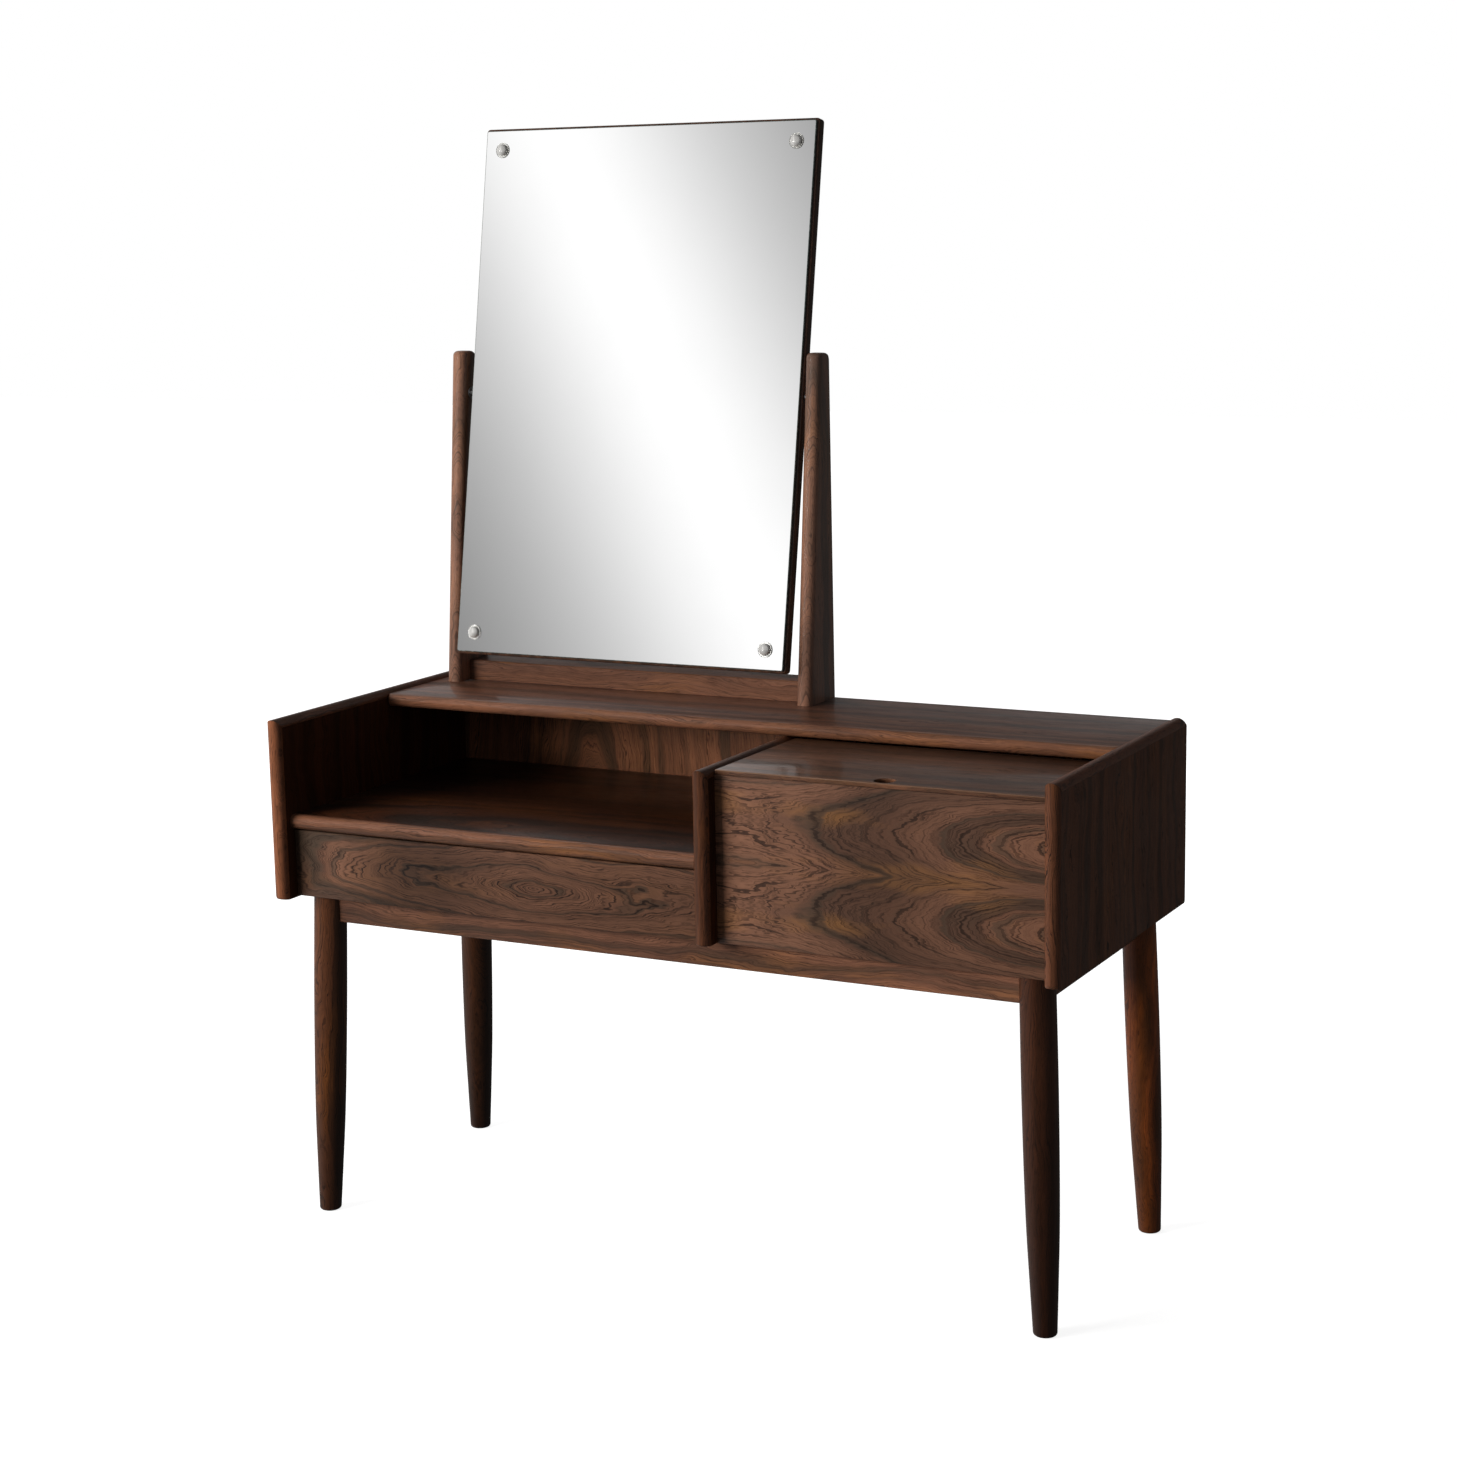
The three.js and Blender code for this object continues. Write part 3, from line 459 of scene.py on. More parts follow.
def upright_edgings(node, material_up, material_back, chin, nape):
    """The mitred front and top edgings of an upright panel."""
    low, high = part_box(f"{node}_front_edging")
    width = high.x - low.x
    depth = high.y - low.y
    outline = edging_section(width, depth, 0.485 * width)
    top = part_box(f"{node}_top_edging")[1].z
    bm = bmesh.new()
    sections = []
    steps = 6
    for i in range(steps + 1):
        turn = 0.5 * math.pi * i / steps
        back = chin * (1 - math.sin(turn))
        z = low.z + chin * (1 - math.cos(turn))
        keep_share = (depth - back) / depth
        front = low.y + back
        sections.append([Vector((low.x + x, front + y * keep_share, z)) for x, y in outline])
    sections.append([Vector((low.x + x, low.y + y, top - y - MITRE_GAP)) for x, y in outline])
    sweep(bm, sections)
    keep(to_object(bm, f"{node}_front_edging_piece"), f"{node}_front_edging", material_up)

    low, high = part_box(f"{node}_top_edging")
    bm = bmesh.new()
    sections = [[Vector((low.x + x, low.y + y + MITRE_GAP, top - y)) for x, y in outline]]
    for i in range(steps + 1):
        turn = 0.5 * math.pi * i / steps
        drop = nape * (1 - math.cos(turn))
        along = high.y - nape * (1 - math.sin(turn))
        keep_share = (depth - drop) / depth
        ridge = top - drop
        sections.append([Vector((low.x + x, along, ridge - y * keep_share)) for x, y in outline])
    sweep(bm, sections)
    keep(to_object(bm, f"{node}_top_edging_piece"), f"{node}_top_edging", material_back)


def nosing(node, material, end_round=0.0):
    """A half-round strip along X whose ends may curve back in plan."""
    low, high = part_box(node)
    depth = high.y - low.y
    height = high.z - low.z
    radius = 0.46 * height
    steps = 10
    outline = (arc((radius, radius), radius, 180, 270, steps)[::-1]
               + arc((radius, height - radius), radius, 90, 180, steps)[::-1]
               + [(depth, height), (depth, 0)])
    bm = bmesh.new()
    places = [(low.x, end_round)]
    if end_round:
        turns = [0.5 * math.pi * i / 6 for i in range(1, 7)]
        left = [
            (low.x + end_round * (1 - math.cos(t)), end_round * (1 - math.sin(t)))
            for t in turns
        ]
        right = [(low.x + high.x - x, back) for x, back in reversed(left)]
        places += left + right
    places.append((high.x, end_round))
    sections = []
    for x, back in places:
        squeeze = (depth - back) / depth
        front = low.y + back
        sections.append([Vector((x, front + y * squeeze, low.z + z)) for y, z in outline])
    sweep(bm, sections)
    keep(to_object(bm, f"{node}_piece"), node, material)


def smooth_radius(knots, share):
    """Radius at a share of the height, on a smooth curve through (share, radius) knots."""
    last = len(knots) - 2
    i = next(k for k in range(last + 1) if share <= knots[k + 1][0] or k == last)
    (s0, r0), (s1, r1) = knots[i], knots[i + 1]
    before = knots[max(i - 1, 0)]
    after = knots[min(i + 2, last + 1)]
    m0 = (r1 - before[1]) / (s1 - before[0])
    m1 = (after[1] - r0) / (after[0] - s0)
    h = s1 - s0
    t = (share - s0) / (s1 - s0)
    return (r0 * (1 + 2 * t) * (1 - t) ** 2 + m0 * h * t * (1 - t) ** 2
            + r1 * t * t * (3 - 2 * t) + m1 * h * t * t * (t - 1))


def leg_rings(height):
    """(radius, height) of each ring of a leg, from the rounded edge of the foot upward."""
    knots = [
        (0.01, LEG_FOOT_RADIUS),
        (0.12, 0.77 * LEG_TOP_RADIUS),
        (0.33, 0.93 * LEG_TOP_RADIUS),
        (0.65, 1.01 * LEG_TOP_RADIUS),
        (1.0, LEG_TOP_RADIUS),
    ]
    rings = []
    foot_steps = 6
    for i in range(foot_steps + 1):
        turn = 0.5 * math.pi * i / foot_steps
        radius = LEG_FOOT_RADIUS - LEG_FOOT_ROUND + LEG_FOOT_ROUND * math.sin(turn)
        rings.append((radius, LEG_FOOT_ROUND * (1 - math.cos(turn))))
    steps = 44
    start = LEG_FOOT_ROUND / height
    for i in range(1, steps + 1):
        share = start + (1 - start) * i / steps
        rings.append((smooth_radius(knots, share), share * height))
    return rings


def leg(node, side_x, side_y, material):
    """A turned leg: slim rounded foot, gentle swell above the middle, level top."""
    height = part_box(node)[1].z
    foot_x, foot_y, _ = foot_place[node.replace("leg_", "foot_")]
    sections = []
    for radius, z in leg_rings(height):
        x = foot_x - side_x * LEG_SPLAY_X * z / height
        y = foot_y - side_y * LEG_SPLAY_Y * z / height
        sections.append([Vector((x + dx, y + dy, z)) for dx, dy in circle(radius, LEG_SIDES)])
    bm = bmesh.new()
    sweep(bm, sections)
    keep(to_object(bm, f"{node}_piece"), node, material)


def plan_section(x0, x1, y0, y1, nose, heel):
    """A post's section seen from above: a round nose in front and softer corners behind."""
    nose = min(nose, 0.49 * (x1 - x0))
    steps = 7
    return (arc((x0 + nose, y0 + nose), nose, 180, 270, steps)
            + arc((x1 - nose, y0 + nose), nose, 270, 360, steps)
            + arc((x1 - heel, y1 - heel), heel, 0, 90, steps)
            + arc((x0 + heel, y1 - heel), heel, 90, 180, steps))


def post(node, material):
    """A post: leaning front with a round nose, nearly upright back, rounded top."""
    low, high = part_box(node)
    front_lean = 43 * MM
    back_lean = 5.5 * MM
    nose = 10 * MM
    heel = 4 * MM
    front_corner = 7 * MM
    back_corner = 11 * MM
    shoulder = 4 * MM
    straight_steps = 8
    top_steps = 12
    height = high.z - low.z

    def inset(z, corner):
        rise = max(0.0, z - (high.z - corner)) / corner
        return corner * (1 - math.sqrt(max(0.0, 1 - rise * rise)))

    levels = [low.z + height * i / straight_steps for i in range(straight_steps)]
    for i in range(top_steps + 1):
        turn = math.radians(90 * i / top_steps)
        levels.append(high.z - back_corner * (1 - math.sin(turn)))
    bm = bmesh.new()
    sections = []
    for z in levels:
        share = (z - low.z) / height
        front = low.y + front_lean * share + inset(z, front_corner)
        back = high.y - back_lean * share - inset(z, back_corner)
        side = inset(z, shoulder)
        outline = plan_section(low.x + side, high.x - side, front, back, nose, heel)
        sections.append([Vector((x, y, z)) for x, y in outline])
    sweep(bm, sections)
    keep(to_object(bm, f"{node}_piece", 40), node, material)


def along_axis(node, axis, origin):
    """Where a round piece is centred, and the turn from +Z to its axis."""
    low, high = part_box(node)
    centre = origin or (low + high) / 2
    turn = Vector((0, 0, 1)).rotation_difference(Vector(axis).normalized()).to_matrix()
    return centre, turn


def turned(node, material, axis, profile, origin=None):
    """A round piece about an axis. profile is a list of (radius, distance along the axis)."""
    centre, turn = along_axis(node, axis, origin)
    bm = bmesh.new()
    sweep(bm, [
        [centre + turn @ Vector((x, y, z)) for x, y in circle(radius, TURNED_SIDES)]
        for radius, z in profile
    ])
    return keep(to_object(bm, f"{node}_piece"), node, material)


def ring(node, material, axis, profile, origin=None):
    """Like turned, but the profile closes on itself round a hole."""
    centre, turn = along_axis(node, axis, origin)
    circles = [(circle(radius, TURNED_SIDES), z) for radius, z in profile]
    bm = bmesh.new()
    loops = [
        [bm.verts.new(centre + turn @ Vector((*points[i], z))) for points, z in circles]
        for i in range(TURNED_SIDES)
    ]
    count = len(profile)
    for i, here in enumerate(loops):
        there = loops[(i + 1) % TURNED_SIDES]
        for k in range(count):
            m = (k + 1) % count
            bm.faces.new((here[k], here[m], there[m], there[k]))
    return keep(to_object(bm, f"{node}_piece"), node, material)


# ---------------------------------------------------------------- wood for each piece
front_low, front_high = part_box("compartment_front")
front_seam = (front_low.z + front_high.z) / 2
drawer_low, drawer_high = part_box("drawer_front")
lid_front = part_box("sliding_lid")[0].y
lid_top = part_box("sliding_lid")[1].z

drawer_middle = (drawer_low.z + drawer_high.z) / 2

EDGE_TINT = (1.0, 0.76, 0.58)
# Deeper, more saturated tint for painted shade, used on the shaded side veneer and on the display
# shelf in its bay.
PAINTED_SHADE_TINT = (1.0, 0.66, 0.42)
LEG_TINT = (1.0, 0.74, 0.52)
RED_LEG_TINT = (1.0, 0.68, 0.47)
# Golden tint of the back right leg: partly its own wood, partly painted light on its middle.
GOLDEN_LIT_LEG_TINT = (1.0, 0.53, 0.19)
# Painted shade: each leg darkens to half its lightness towards the floor, where the case shades
# it.
PAINTED_LOW_SHADE = ((0.05, 0.35, 0.5, 1.0),)

front_veneer = rosewood(
    "front_veneer", "X", "Z", (0.62, 0.050), 0.194, 0.42, fold=front_seam, warp=0.42,
    zones=0.68, bands=0.6, veins=0.8, gold=0.85, lightness=1.12, seed=3.1,
    fades=((0.20, 0.28, 1.02, 0.74), (0.32, 0.42, 1.0, 1.45)))
drawer_veneer = rosewood(
    "drawer_veneer", "X", "Z", (-0.165, drawer_middle), 0.16, 0.6, warp=0.9,
    zones=0.9, bands=0.7, veins=1.0, gold=0.25, lightness=1.1, seed=7.7,
    fades=((-0.46, -0.38, 0.95, 0.42), (-0.30, -0.20, 1.0, 1.9)))
lid_veneer = rosewood(
    "lid_veneer", "X", "Y", (0.9, -0.35), 0.10, zones=0.4, gold=0.2, lightness=1.05,
    coat=0.35, coat_rough=0.09, tint=(1.0, 0.92, 0.82), seed=1.9,
    # The pale line along the lid's front top edge is partly its solid lip, partly a painted
    # highlight.
    lip_highlight=(lid_front, lid_top, 1.3 * MM))
top_veneer = rosewood(
    "top_veneer", "X", "Y", (0.2, 0.75), 0.08, zones=0.4, gold=0.2, lightness=1.15,
    coat=0.35, coat_rough=0.09, tint=(1.0, 0.88, 0.85), seed=5.3)
# The display shelf is painted dark: partly its own dark figure, partly painted shade of the bay
# beside the left panel and under the top shelf.
shaded_bay_shelf = rosewood(
    "shaded_bay_shelf", "X", "Y", (-0.06, -0.19), 0.22, warp=0.9, zones=0.85, bands=0.75,
    veins=1.0, gold=0.7, lightness=0.36, coat=0.2, tint=PAINTED_SHADE_TINT, seed=9.4)
side_veneer = rosewood(
    "side_veneer", "Z", "Y", (1.6, 0.35), 0.10, 2.0, warp=1.5, zones=0.5, veins=0.9,
    coat=0.0, specular=0.15, tint=(1.0, 0.80, 0.62), seed=2.2)
shaded_side_veneer = rosewood(
    "shaded_side_veneer", "Z", "Y", (1.6, -0.35), 0.10, 2.0, warp=1.2, lightness=0.42,
    coat=0.0, specular=0.15, tint=PAINTED_SHADE_TINT, seed=2.7)
back_veneer = rosewood(
    "back_veneer", "Z", "X", (0.45, -0.32), 0.30, warp=0.8, veins=0.85, gold=0.15,
    lightness=1.15, tint=(1.0, 0.85, 0.7), seed=6.1)
upright_solid = rosewood(
    "upright_solid", "Z", "X", (0.4, 0.5), 0.04, zones=0.35, veins=0.9, gold=1.0,
    lightness=0.85, tint=EDGE_TINT, seed=4.4)
# Lighter copy of the edging wood for the left panel: partly its own tone, partly painted light, as
# it stands nearest the light.
lit_left_edging = rosewood(
    "lit_left_edging", "Z", "X", (0.4, -0.1), 0.04, zones=0.3, veins=0.6, gold=1.0,
    lightness=1.5, tint=EDGE_TINT, seed=5.2)
cap_solid = rosewood(
    "cap_solid", "Y", "X", (0.4, 0.5), 0.04, zones=0.35, tint=EDGE_TINT, seed=8.2)
post_solid = rosewood(
    "post_solid", "Z", "Y", (0.9, 0.5), 0.05, zones=0.5, gold=0.2, lightness=1.75,
    coat=0.5, specular=0.6, seed=4.9)
nosing_solid = rosewood(
    "nosing_solid", "X", "Z", (0.3, 0.15), 0.03, zones=0.35, gold=0.5, lightness=1.3,
    coat=0.4, tint=(1.0, 0.88, 0.78), seed=0.7)
apron_solid = rosewood(
    "apron_solid", "X", "Z", (0.6, 0.2), 0.06, zones=0.5, gold=0.4, lightness=1.15,
    tint=(1.0, 0.93, 0.9), seed=3.9,
    fades=((-0.45, 0.0, 0.7, 1.0), (0.1, 0.45, 1.0, 1.6)))
side_apron_solid = rosewood(
    "side_apron_solid", "Y", "Z", (0.6, 0.2), 0.06, zones=0.5, tint=LEG_TINT, seed=5.9)
board_solid = rosewood(
    "board_solid", "Z", "X", (0.9, 0.3), 0.05, zones=0.5, lightness=0.5, seed=2.9)
# Each leg's lightness is partly its own wood and partly painted light and shade: all are darkened
# for the shade under the case, the front right and back left most, and the back right leg is
# painted bright and golden as if lit.
leg_shade_and_wood = {
    "front_left": rosewood(
        "leg_wood_front_left", "Z", "X", (0.75, -0.53), 0.09, veins=1.0, gold=0.9,
        lightness=0.78, tint=LEG_TINT, seed=6.6, fades=PAINTED_LOW_SHADE),
    "front_right": rosewood(
        "leg_wood_front_right", "Z", "X", (0.9, 0.46), 0.06, gold=0.1,
        lightness=0.44, tint=RED_LEG_TINT, seed=7.1, fades=PAINTED_LOW_SHADE),
    "back_left": rosewood(
        "leg_wood_back_left", "Z", "X", (0.9, -0.46), 0.06, gold=0.1,
        lightness=0.38, tint=LEG_TINT, seed=8.3, fades=PAINTED_LOW_SHADE),
    "back_right": rosewood(
        "leg_wood_back_right", "Z", "X", (0.8, 0.46), 0.07, gold=0.9,
        lightness=1.95, tint=GOLDEN_LIT_LEG_TINT, seed=9.2, fades=PAINTED_LOW_SHADE),
}
inside_wood = plain_wood("inside_wood", "X", "Z", (0.36, 0.24, 0.14), (0.24, 0.15, 0.085))
inside_long = plain_wood("inside_long", "Y", "Z", (0.36, 0.24, 0.14), (0.24, 0.15, 0.085))
plywood = plain_wood("plywood", "Y", "X", (0.50, 0.38, 0.24), (0.38, 0.27, 0.16), 0.6)
steel = metal("steel", (0.62, 0.62, 0.63), 0.28, 0.15)
chrome = metal("chrome", (0.80, 0.79, 0.77), 0.16, 0.03, 0.55)
mirror_face = silvered_glass()
mirror_edge = glass_edge()
washer_plastic = clear_washer()


# ---------------------------------------------------------------- case
FINGER_HOLE_RADIUS = 13 * MM
FINGER_HOLE_SETBACK = 17 * MM
FINGER_RELIEF_DEPTH = 18 * MM


def build_case():
    sides = (("left", shaded_side_veneer, lit_left_edging), ("right", side_veneer, upright_solid))
    for side, veneer, solid in sides:
        upright_panel(f"{side}_side_panel", veneer)
        upright_edgings(f"{side}_side_panel", solid, cap_solid, chin=6 * MM, nape=9 * MM)
    board("centre_divider", shaded_side_veneer, 0.3 * MM)
    upright_edgings("centre_divider", upright_solid, cap_solid, chin=3 * MM, nape=1 * MM)
    board("top_shelf", top_veneer, 0.3 * MM)
    nosing("top_shelf_nosing", nosing_solid, 8 * MM)
    board("display_shelf", shaded_bay_shelf, 0.3 * MM)
    nosing("display_shelf_nosing", nosing_solid)
    board("back_panel", back_veneer, 0.3 * MM)
    board("left_bottom_panel", inside_wood, 0.5 * MM)
    board("right_bottom_panel", inside_wood, 0.5 * MM)
    for name in ("drawer_runner_left", "drawer_runner_right", "lid_cleat_left", "lid_cleat_right"):
        board(name, inside_long)
    board("drawer_stop", inside_wood)
    board("front_apron", apron_solid, 1.5 * MM)
    board("back_apron", apron_solid, 1.5 * MM)
    board("left_apron", side_apron_solid, 1.5 * MM)
    board("right_apron", side_apron_solid, 1.5 * MM)
    for name, side_x, side_y in CORNERS:
        leg(f"leg_{name}", side_x, side_y, leg_shade_and_wood[name])
        dress(f"corner_block_{name}", inside_wood)


def build_lid_box():
    front = board("compartment_front", front_veneer, 0.6 * MM)
    lid = board("sliding_lid", lid_veneer, 0.9 * MM)
    lid_low, lid_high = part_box("sliding_lid")
    hole = ((lid_low.x + lid_high.x) / 2, lid_low.y + FINGER_HOLE_SETBACK)
    drill(lid, hole, FINGER_HOLE_RADIUS, lid_low.z - MM, lid_high.z)
    relief_base = lid_low.z - FINGER_RELIEF_DEPTH
    drill(front, hole, FINGER_HOLE_RADIUS, relief_base, lid_low.z - 0.2 * MM, 0.1 * MM)


def build_drawer():
    board("drawer_front", drawer_veneer, 0.8 * MM)
    for name in ("drawer_side_left", "drawer_side_right"):
        dress(name, inside_long)
    board("drawer_back", inside_wood, 0.8 * MM)
    board("drawer_bottom", plywood, 0.3 * MM)


# ---------------------------------------------------------------- stand and mirror
def half_length(node):
    low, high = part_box(node)
    return (high.x - low.x) / 2


def build_plug(side, axis):
    """The wooden plug that covers a pin's end, slightly crowned."""
    node = f"pivot_plug_{side}"
    low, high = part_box(node)
    half = half_length(node)
    radius = (high.y - low.y) / 2
    turned(node, board_solid, axis, [
        (radius, -half),
        (radius, half - 0.8 * MM),
        (radius - 0.3 * MM, half - 0.3 * MM),
        (radius - 1.2 * MM, half),
        (0.4 * radius, half + 0.3 * MM),
        (0.1 * MM, half + 0.35 * MM),
    ])


def build_pin_and_washer(side, axis):
    node = f"pivot_washer_{side}"
    half = half_length(node)
    ring(node, steel, axis, [
        (4.1 * MM, -half),
        (7.7 * MM, -half),
        (8 * MM, 0.3 * MM - half),
        (8 * MM, half - 0.3 * MM),
        (7.7 * MM, half),
        (4.1 * MM, half),
    ])
    node = f"pivot_pin_{side}"
    half = half_length(node)
    turned(node, steel, axis, [
        (3.4 * MM, -half),
        (4 * MM, 0.6 * MM - half),
        (4 * MM, half - 0.6 * MM),
        (3.4 * MM, half),
    ])


def build_post_rail():
    low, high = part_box("post_rail")
    bm = box_mesh(low, high)
    long_edges = [e for e in bm.edges if abs(e.verts[0].co.x - e.verts[1].co.x) > MM]
    bevel(bm, [e for e in long_edges if e.verts[0].co.z > low.z + MM], 2.5 * MM, 4)
    keep(to_object(bm, "post_rail_piece"), "post_rail", apron_solid)


def build_posts():
    for side, sign in (("left", -1), ("right", 1)):
        post(f"{side}_post", post_solid)
        build_plug(side, (sign, 0, 0))
        build_pin_and_washer(side, (sign, 0, 0))
    build_post_rail()


tilt = Matrix.Translation(PIVOT) @ Matrix.Rotation(-MIRROR_TILT, 4, "X")
facing = tilt.to_3x3() @ Vector((0, -1, 0))
BOARD_HALF = (257.5 * MM, 365.5 * MM)
GLASS_HALF = (254 * MM, 362 * MM)
BOARD_FRONT = -7 * MM
GLASS_FRONT = -11.2 * MM
SCREW_INSET = 27 * MM
SCREW_HEAD_RADIUS = 8 * MM
SCREW_HEAD_EDGE = 2.6 * MM
SCREW_DOME_HEIGHT = 4.4 * MM


def rounded_panel(half, corner, y_back, y_front, edge, segments):
    """A panel in the mirror's own tilted frame, with round corners and softened edges."""
    bm = bmesh.new()
    outline = []
    for k, (sign_x, sign_z) in enumerate(((1, 1), (-1, 1), (-1, -1), (1, -1))):
        centre = (sign_x * (half[0] - corner), sign_z * (half[1] - corner))
        outline += arc(centre, corner, 90 * k, 90 * k + 90, 6)
    face = bm.faces.new([bm.verts.new((x, y_front, z)) for x, z in outline])
    grown = bmesh.ops.extrude_face_region(bm, geom=[face])
    for vert in (v for v in grown["geom"] if isinstance(v, bmesh.types.BMVert)):
        vert.co.y = y_back
    rims = [e for e in bm.edges if abs(e.verts[0].co.y - e.verts[1].co.y) < 1e-7]
    bevel(bm, rims, edge, segments)
    bm.transform(tilt)
    return bm


def build_mirror_panels():
    bm = rounded_panel(BOARD_HALF, 5 * MM, 7 * MM, BOARD_FRONT, 2 * MM, 4)
    keep(to_object(bm, "mirror_board_piece"), "mirror_board", board_solid)

    bm = rounded_panel(GLASS_HALF, 2.5 * MM, BOARD_FRONT - 0.2 * MM, GLASS_FRONT, 0.8 * MM, 2)
    glass = to_object(bm, "mirror_glass_piece", 20)
    keep(glass, "mirror_glass", mirror_face)
    glass.data.materials.append(mirror_edge)
    for face in glass.data.polygons:
        face.material_index = 0 if face.normal.dot(facing) > 0.999 else 1


def screw_profile():
    """Shank, underside and dome of a mirror screw, measured from the face of the glass."""
    profile = [
        (1.9 * MM, -11 * MM),
        (2 * MM, 1.6 * MM),
        (7.6 * MM, 1.6 * MM),
        (SCREW_HEAD_RADIUS, 2.0 * MM),
        (SCREW_HEAD_RADIUS, SCREW_HEAD_EDGE),
    ]
    dome_steps = 10
    for i in range(1, dome_steps + 1):
        turn = math.radians(86) * i / dome_steps
        height = SCREW_HEAD_EDGE + SCREW_DOME_HEIGHT * math.sin(turn)
        profile.append((SCREW_HEAD_RADIUS * math.cos(turn), height))
    return profile


def build_mirror_screws():
    disc = [
        (2.3 * MM, 0.2 * MM),
        (10.2 * MM, 0.2 * MM),
        (10.5 * MM, 0.5 * MM),
        (10.5 * MM, 1.0 * MM),
        (10.1 * MM, 1.35 * MM),
        (2.3 * MM, 1.4 * MM),
    ]
    corners = (("top_left", -1, 1), ("top_right", 1, 1),
               ("bottom_left", -1, -1), ("bottom_right", 1, -1))
    for name, sign_x, sign_z in corners:
        x = sign_x * (GLASS_HALF[0] - SCREW_INSET)
        z = sign_z * (GLASS_HALF[1] - SCREW_INSET)
        origin = tilt @ Vector((x, GLASS_FRONT, z))
        ring(f"screw_washer_{name}", washer_plastic, facing, disc, origin)
        turned(f"mirror_screw_{name}", chrome, facing, screw_profile(), origin)


build_case()
build_lid_box()
build_drawer()
build_posts()
build_mirror_panels()
build_mirror_screws()


# ---------------------------------------------------------------- floor, light, camera
def floor_material():
    """White that glows a little more with distance, so that the horizon melts away."""
    s = Shader("pale_floor")
    place = s.node("ShaderNodeTexCoord").outputs["Object"]
    patch = s.noise(place, 0.8, 3, 0.5)
    away = s.node("ShaderNodeVectorMath", {0: place}, operation="LENGTH").outputs["Value"]
    tint = s.mix(s.spread(patch, 0.35, 0.65), (0.42, 0.42, 0.42), (0.39, 0.39, 0.39))
    return s.finish({
        "Base Color": tint,
        "Roughness": 0.9,
        "Specular IOR Level": 0.0,
        "Emission Color": (1, 1, 1, 1),
        "Emission Strength": s.spread(away, 0.6, 2.6, 0.86, 1.05),
    })


def build_floor():
    bm = bmesh.new()
    bmesh.ops.create_grid(bm, x_segments=8, y_segments=8, size=14)
    floor = to_object(bm, "studio_floor")
    floor.location.z = -0.5 * MM
    floor.data.materials.append(floor_material())
    floor.visible_diffuse = False
    floor.visible_glossy = False


def area_light(name, place, target, size, power, colour=(1, 1, 1)):
    """A soft light that the gloss and the camera don't see."""
    data = bpy.data.lights.new(name, "AREA")
    data.shape = "RECTANGLE"
    data.size, data.size_y = size
    data.energy = power
    data.color = colour
    lamp = bpy.data.objects.new(name, data)
    lamp.location = place
    direction = Vector(target) - Vector(place)
    lamp.rotation_euler = direction.to_track_quat("-Z", "Y").to_euler()
    lamp.visible_glossy = False
    lamp.visible_camera = False
    bpy.context.scene.collection.objects.link(lamp)


CARD_DISTANCE = 3.0
CARD_REACH = 5.5
CARD_DROP = 1.0
RIDGE_DIRECTION = (0.8655, 0.5008)
RIDGE_PLACE = 0.053
RIDGE_WIDTH = 0.275
RIDGE_GLOW = 1.08
LEAST_GLOW = 0.28


def card_material(growth):
    """White light in a diagonal ridge that fades to both sides down to a least glow."""
    s = Shader("card_glow")
    place = s.node("ShaderNodeTexCoord").outputs["Object"]
    split = s.node("ShaderNodeSeparateXYZ", {0: place}).outputs
    shares = [s.math("MULTIPLY", split[i], RIDGE_DIRECTION[i] / growth) for i in range(2)]
    across = s.math("ADD", *shares)
    ridge = s.math("DIVIDE", s.math("SUBTRACT", across, RIDGE_PLACE), RIDGE_WIDTH)
    glow = s.math("DIVIDE", RIDGE_GLOW, s.math("MULTIPLY_ADD", ridge, ridge, 1.0))
    glow = s.math("MAXIMUM", glow, LEAST_GLOW)
    emission = s.node("ShaderNodeEmission", {"Color": (1, 1, 1, 1), "Strength": glow})
    output = s.node("ShaderNodeOutputMaterial")
    s.tree.links.new(emission.outputs[0], output.inputs[0])
    return s.material


def build_mirror_card():
    """A pale card that only the mirror and the gloss see. It stands parallel to the glass, so
    a place on it maps evenly onto a place on the glass as the pictured camera sees it. Its
    lower part is cut off, to keep its glow from the legs."""
    centre = tilt @ Vector((0, GLASS_FRONT, 0))
    camera_height = (camera_place - centre).dot(facing)
    behind = camera_place - 2 * camera_height * facing
    growth = (camera_height + CARD_DISTANCE) / camera_height

    bm = bmesh.new()
    bmesh.ops.create_grid(bm, x_segments=1, y_segments=1, size=CARD_REACH)
    for vert in bm.verts:
        vert.co.y = max(vert.co.y, -CARD_DROP)
    card = to_object(bm, "mirror_card")
    turn = Matrix.Rotation(math.radians(90) - MIRROR_TILT, 4, "X")
    card.matrix_world = Matrix.Translation(behind + growth * (centre - behind)) @ turn
    card.data.materials.append(card_material(growth))
    card.visible_camera = False
    card.visible_shadow = False
    card.visible_diffuse = False


# (direction across the room from 0 = left to 1 = right, brightness) as the gloss sees it
WORLD_LEVELS = [
    (0.20, 0.42),
    (0.25, 0.18),
    (0.29, 0.11),
    (0.325, 0.15),
    (0.36, 0.26),
    (0.42, 0.12),
    (0.5, 0.03),
    (0.68, 0.08),
]


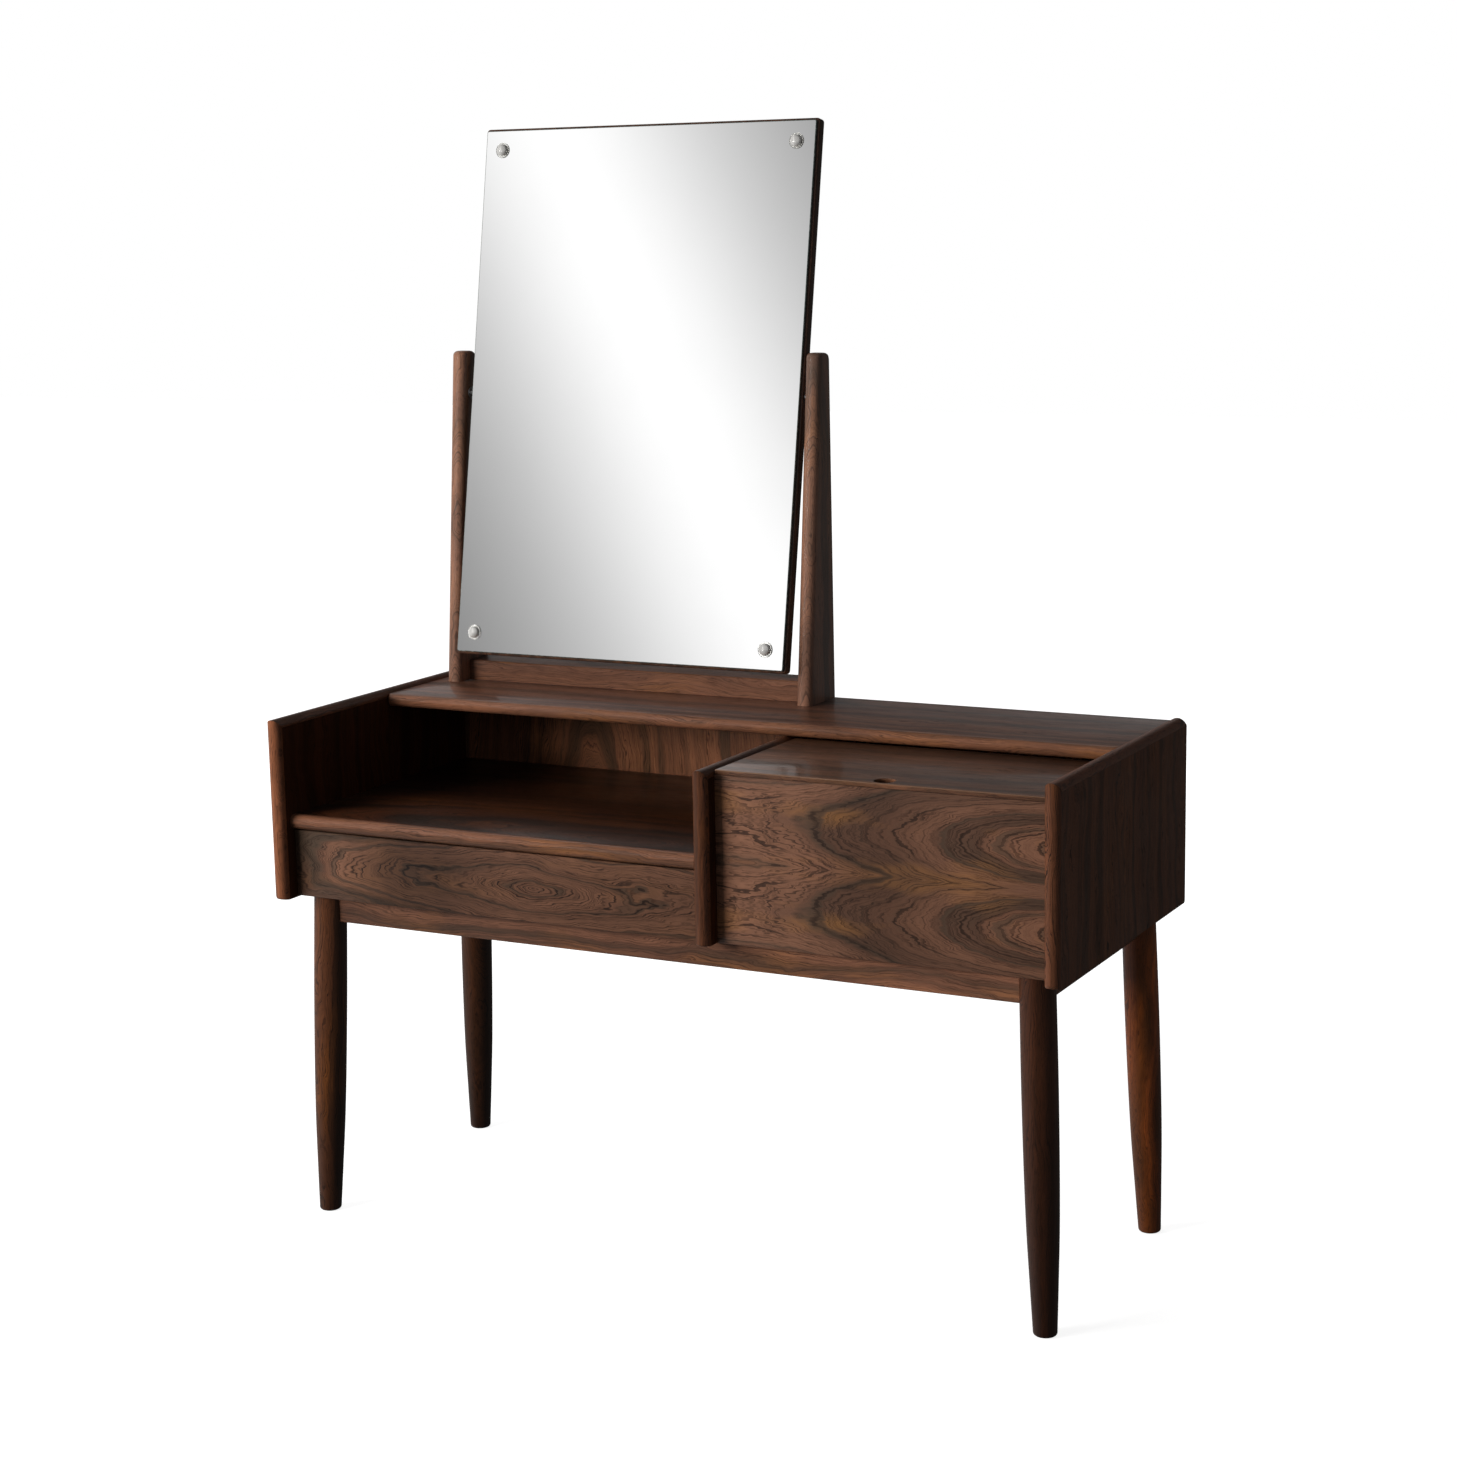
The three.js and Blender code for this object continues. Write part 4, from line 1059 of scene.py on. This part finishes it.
def build_world():
    """A room that is white to the camera and has soft light and dark sides otherwise."""
    world = bpy.data.worlds.new("studio")
    bpy.context.scene.world = world
    world.use_nodes = True
    tree = world.node_tree
    tree.nodes.clear()
    place = tree.nodes.new("ShaderNodeTexCoord")
    split = tree.nodes.new("ShaderNodeSeparateXYZ")
    tree.links.new(place.outputs["Generated"], split.inputs[0])
    side = tree.nodes.new("ShaderNodeMapRange")
    for socket, value in enumerate((-1, 1, 0, 1), 1):
        side.inputs[socket].default_value = value
    tree.links.new(split.outputs[0], side.inputs[0])
    curve = tree.nodes.new("ShaderNodeValToRGB")
    while len(curve.color_ramp.elements) < len(WORLD_LEVELS):
        curve.color_ramp.elements.new(0.5)
    for element, (across, level) in zip(curve.color_ramp.elements, WORLD_LEVELS):
        element.position = across
        element.color = (level, level, level, 1)
    tree.links.new(side.outputs[0], curve.inputs[0])
    glow = tree.nodes.new("ShaderNodeBackground")
    tree.links.new(curve.outputs[0], glow.inputs["Color"])
    seen = tree.nodes.new("ShaderNodeBackground")
    seen.inputs["Color"].default_value = (1, 1, 1, 1)
    rays = tree.nodes.new("ShaderNodeLightPath")
    mixed = tree.nodes.new("ShaderNodeMixShader")
    tree.links.new(rays.outputs["Is Camera Ray"], mixed.inputs[0])
    tree.links.new(glow.outputs[0], mixed.inputs[1])
    tree.links.new(seen.outputs[0], mixed.inputs[2])
    output = tree.nodes.new("ShaderNodeOutputWorld")
    tree.links.new(mixed.outputs[0], output.inputs[0])


camera_place = Vector((1.635, -3.1184, 1.3115))
CAMERA_LENS = 68.46
CAMERA_SENSOR = 36


def build_camera():
    """The pictured view: place, turn and lens come from the perspective fit of the photo."""
    yaw = math.radians(27.64)
    pitch = math.radians(10.45)
    roll = math.radians(-1.11)
    level = math.cos(pitch)
    forward = Vector((-math.sin(yaw) * level, math.cos(yaw) * level, -math.sin(pitch)))
    right = Vector((math.cos(yaw), math.sin(yaw), 0))
    up = right.cross(forward)
    rolled_right = math.cos(roll) * right + math.sin(roll) * up
    rolled_up = -math.sin(roll) * right + math.cos(roll) * up
    data = bpy.data.cameras.new("camera")
    data.lens = CAMERA_LENS
    data.sensor_width = CAMERA_SENSOR
    camera = bpy.data.objects.new("camera", data)
    basis = Matrix((rolled_right, rolled_up, -forward)).transposed()
    camera.matrix_world = Matrix.Translation(camera_place) @ basis.to_4x4()
    bpy.context.scene.collection.objects.link(camera)
    bpy.context.scene.camera = camera


def build_lights():
    area_light("window", (-2.9, -3.6, 1.6), (0, -0.1, 0.6), (2.2, 1.3), 280, (1.0, 0.985, 0.96))
    area_light("front_soft", (0.4, -3.6, 1.4), (0, 0, 0.5), (2.0, 1.6), 5)
    area_light("right_soft", (3.0, -0.6, 0.9), (0.5, 0, 0.6), (1.4, 1.0), 3)
    area_light("back_soft", (-1.2, 3.4, 1.3), (0, 0, 0.7), (2.0, 1.6), 40)
    area_light("top_soft", (-1.6, 0.9, 3.0), (0, 0, 0.65), (1.2, 1.2), 13)


build_camera()
build_floor()
build_lights()
build_mirror_card()
build_world()
bpy.context.scene.view_settings.view_transform = "Standard"
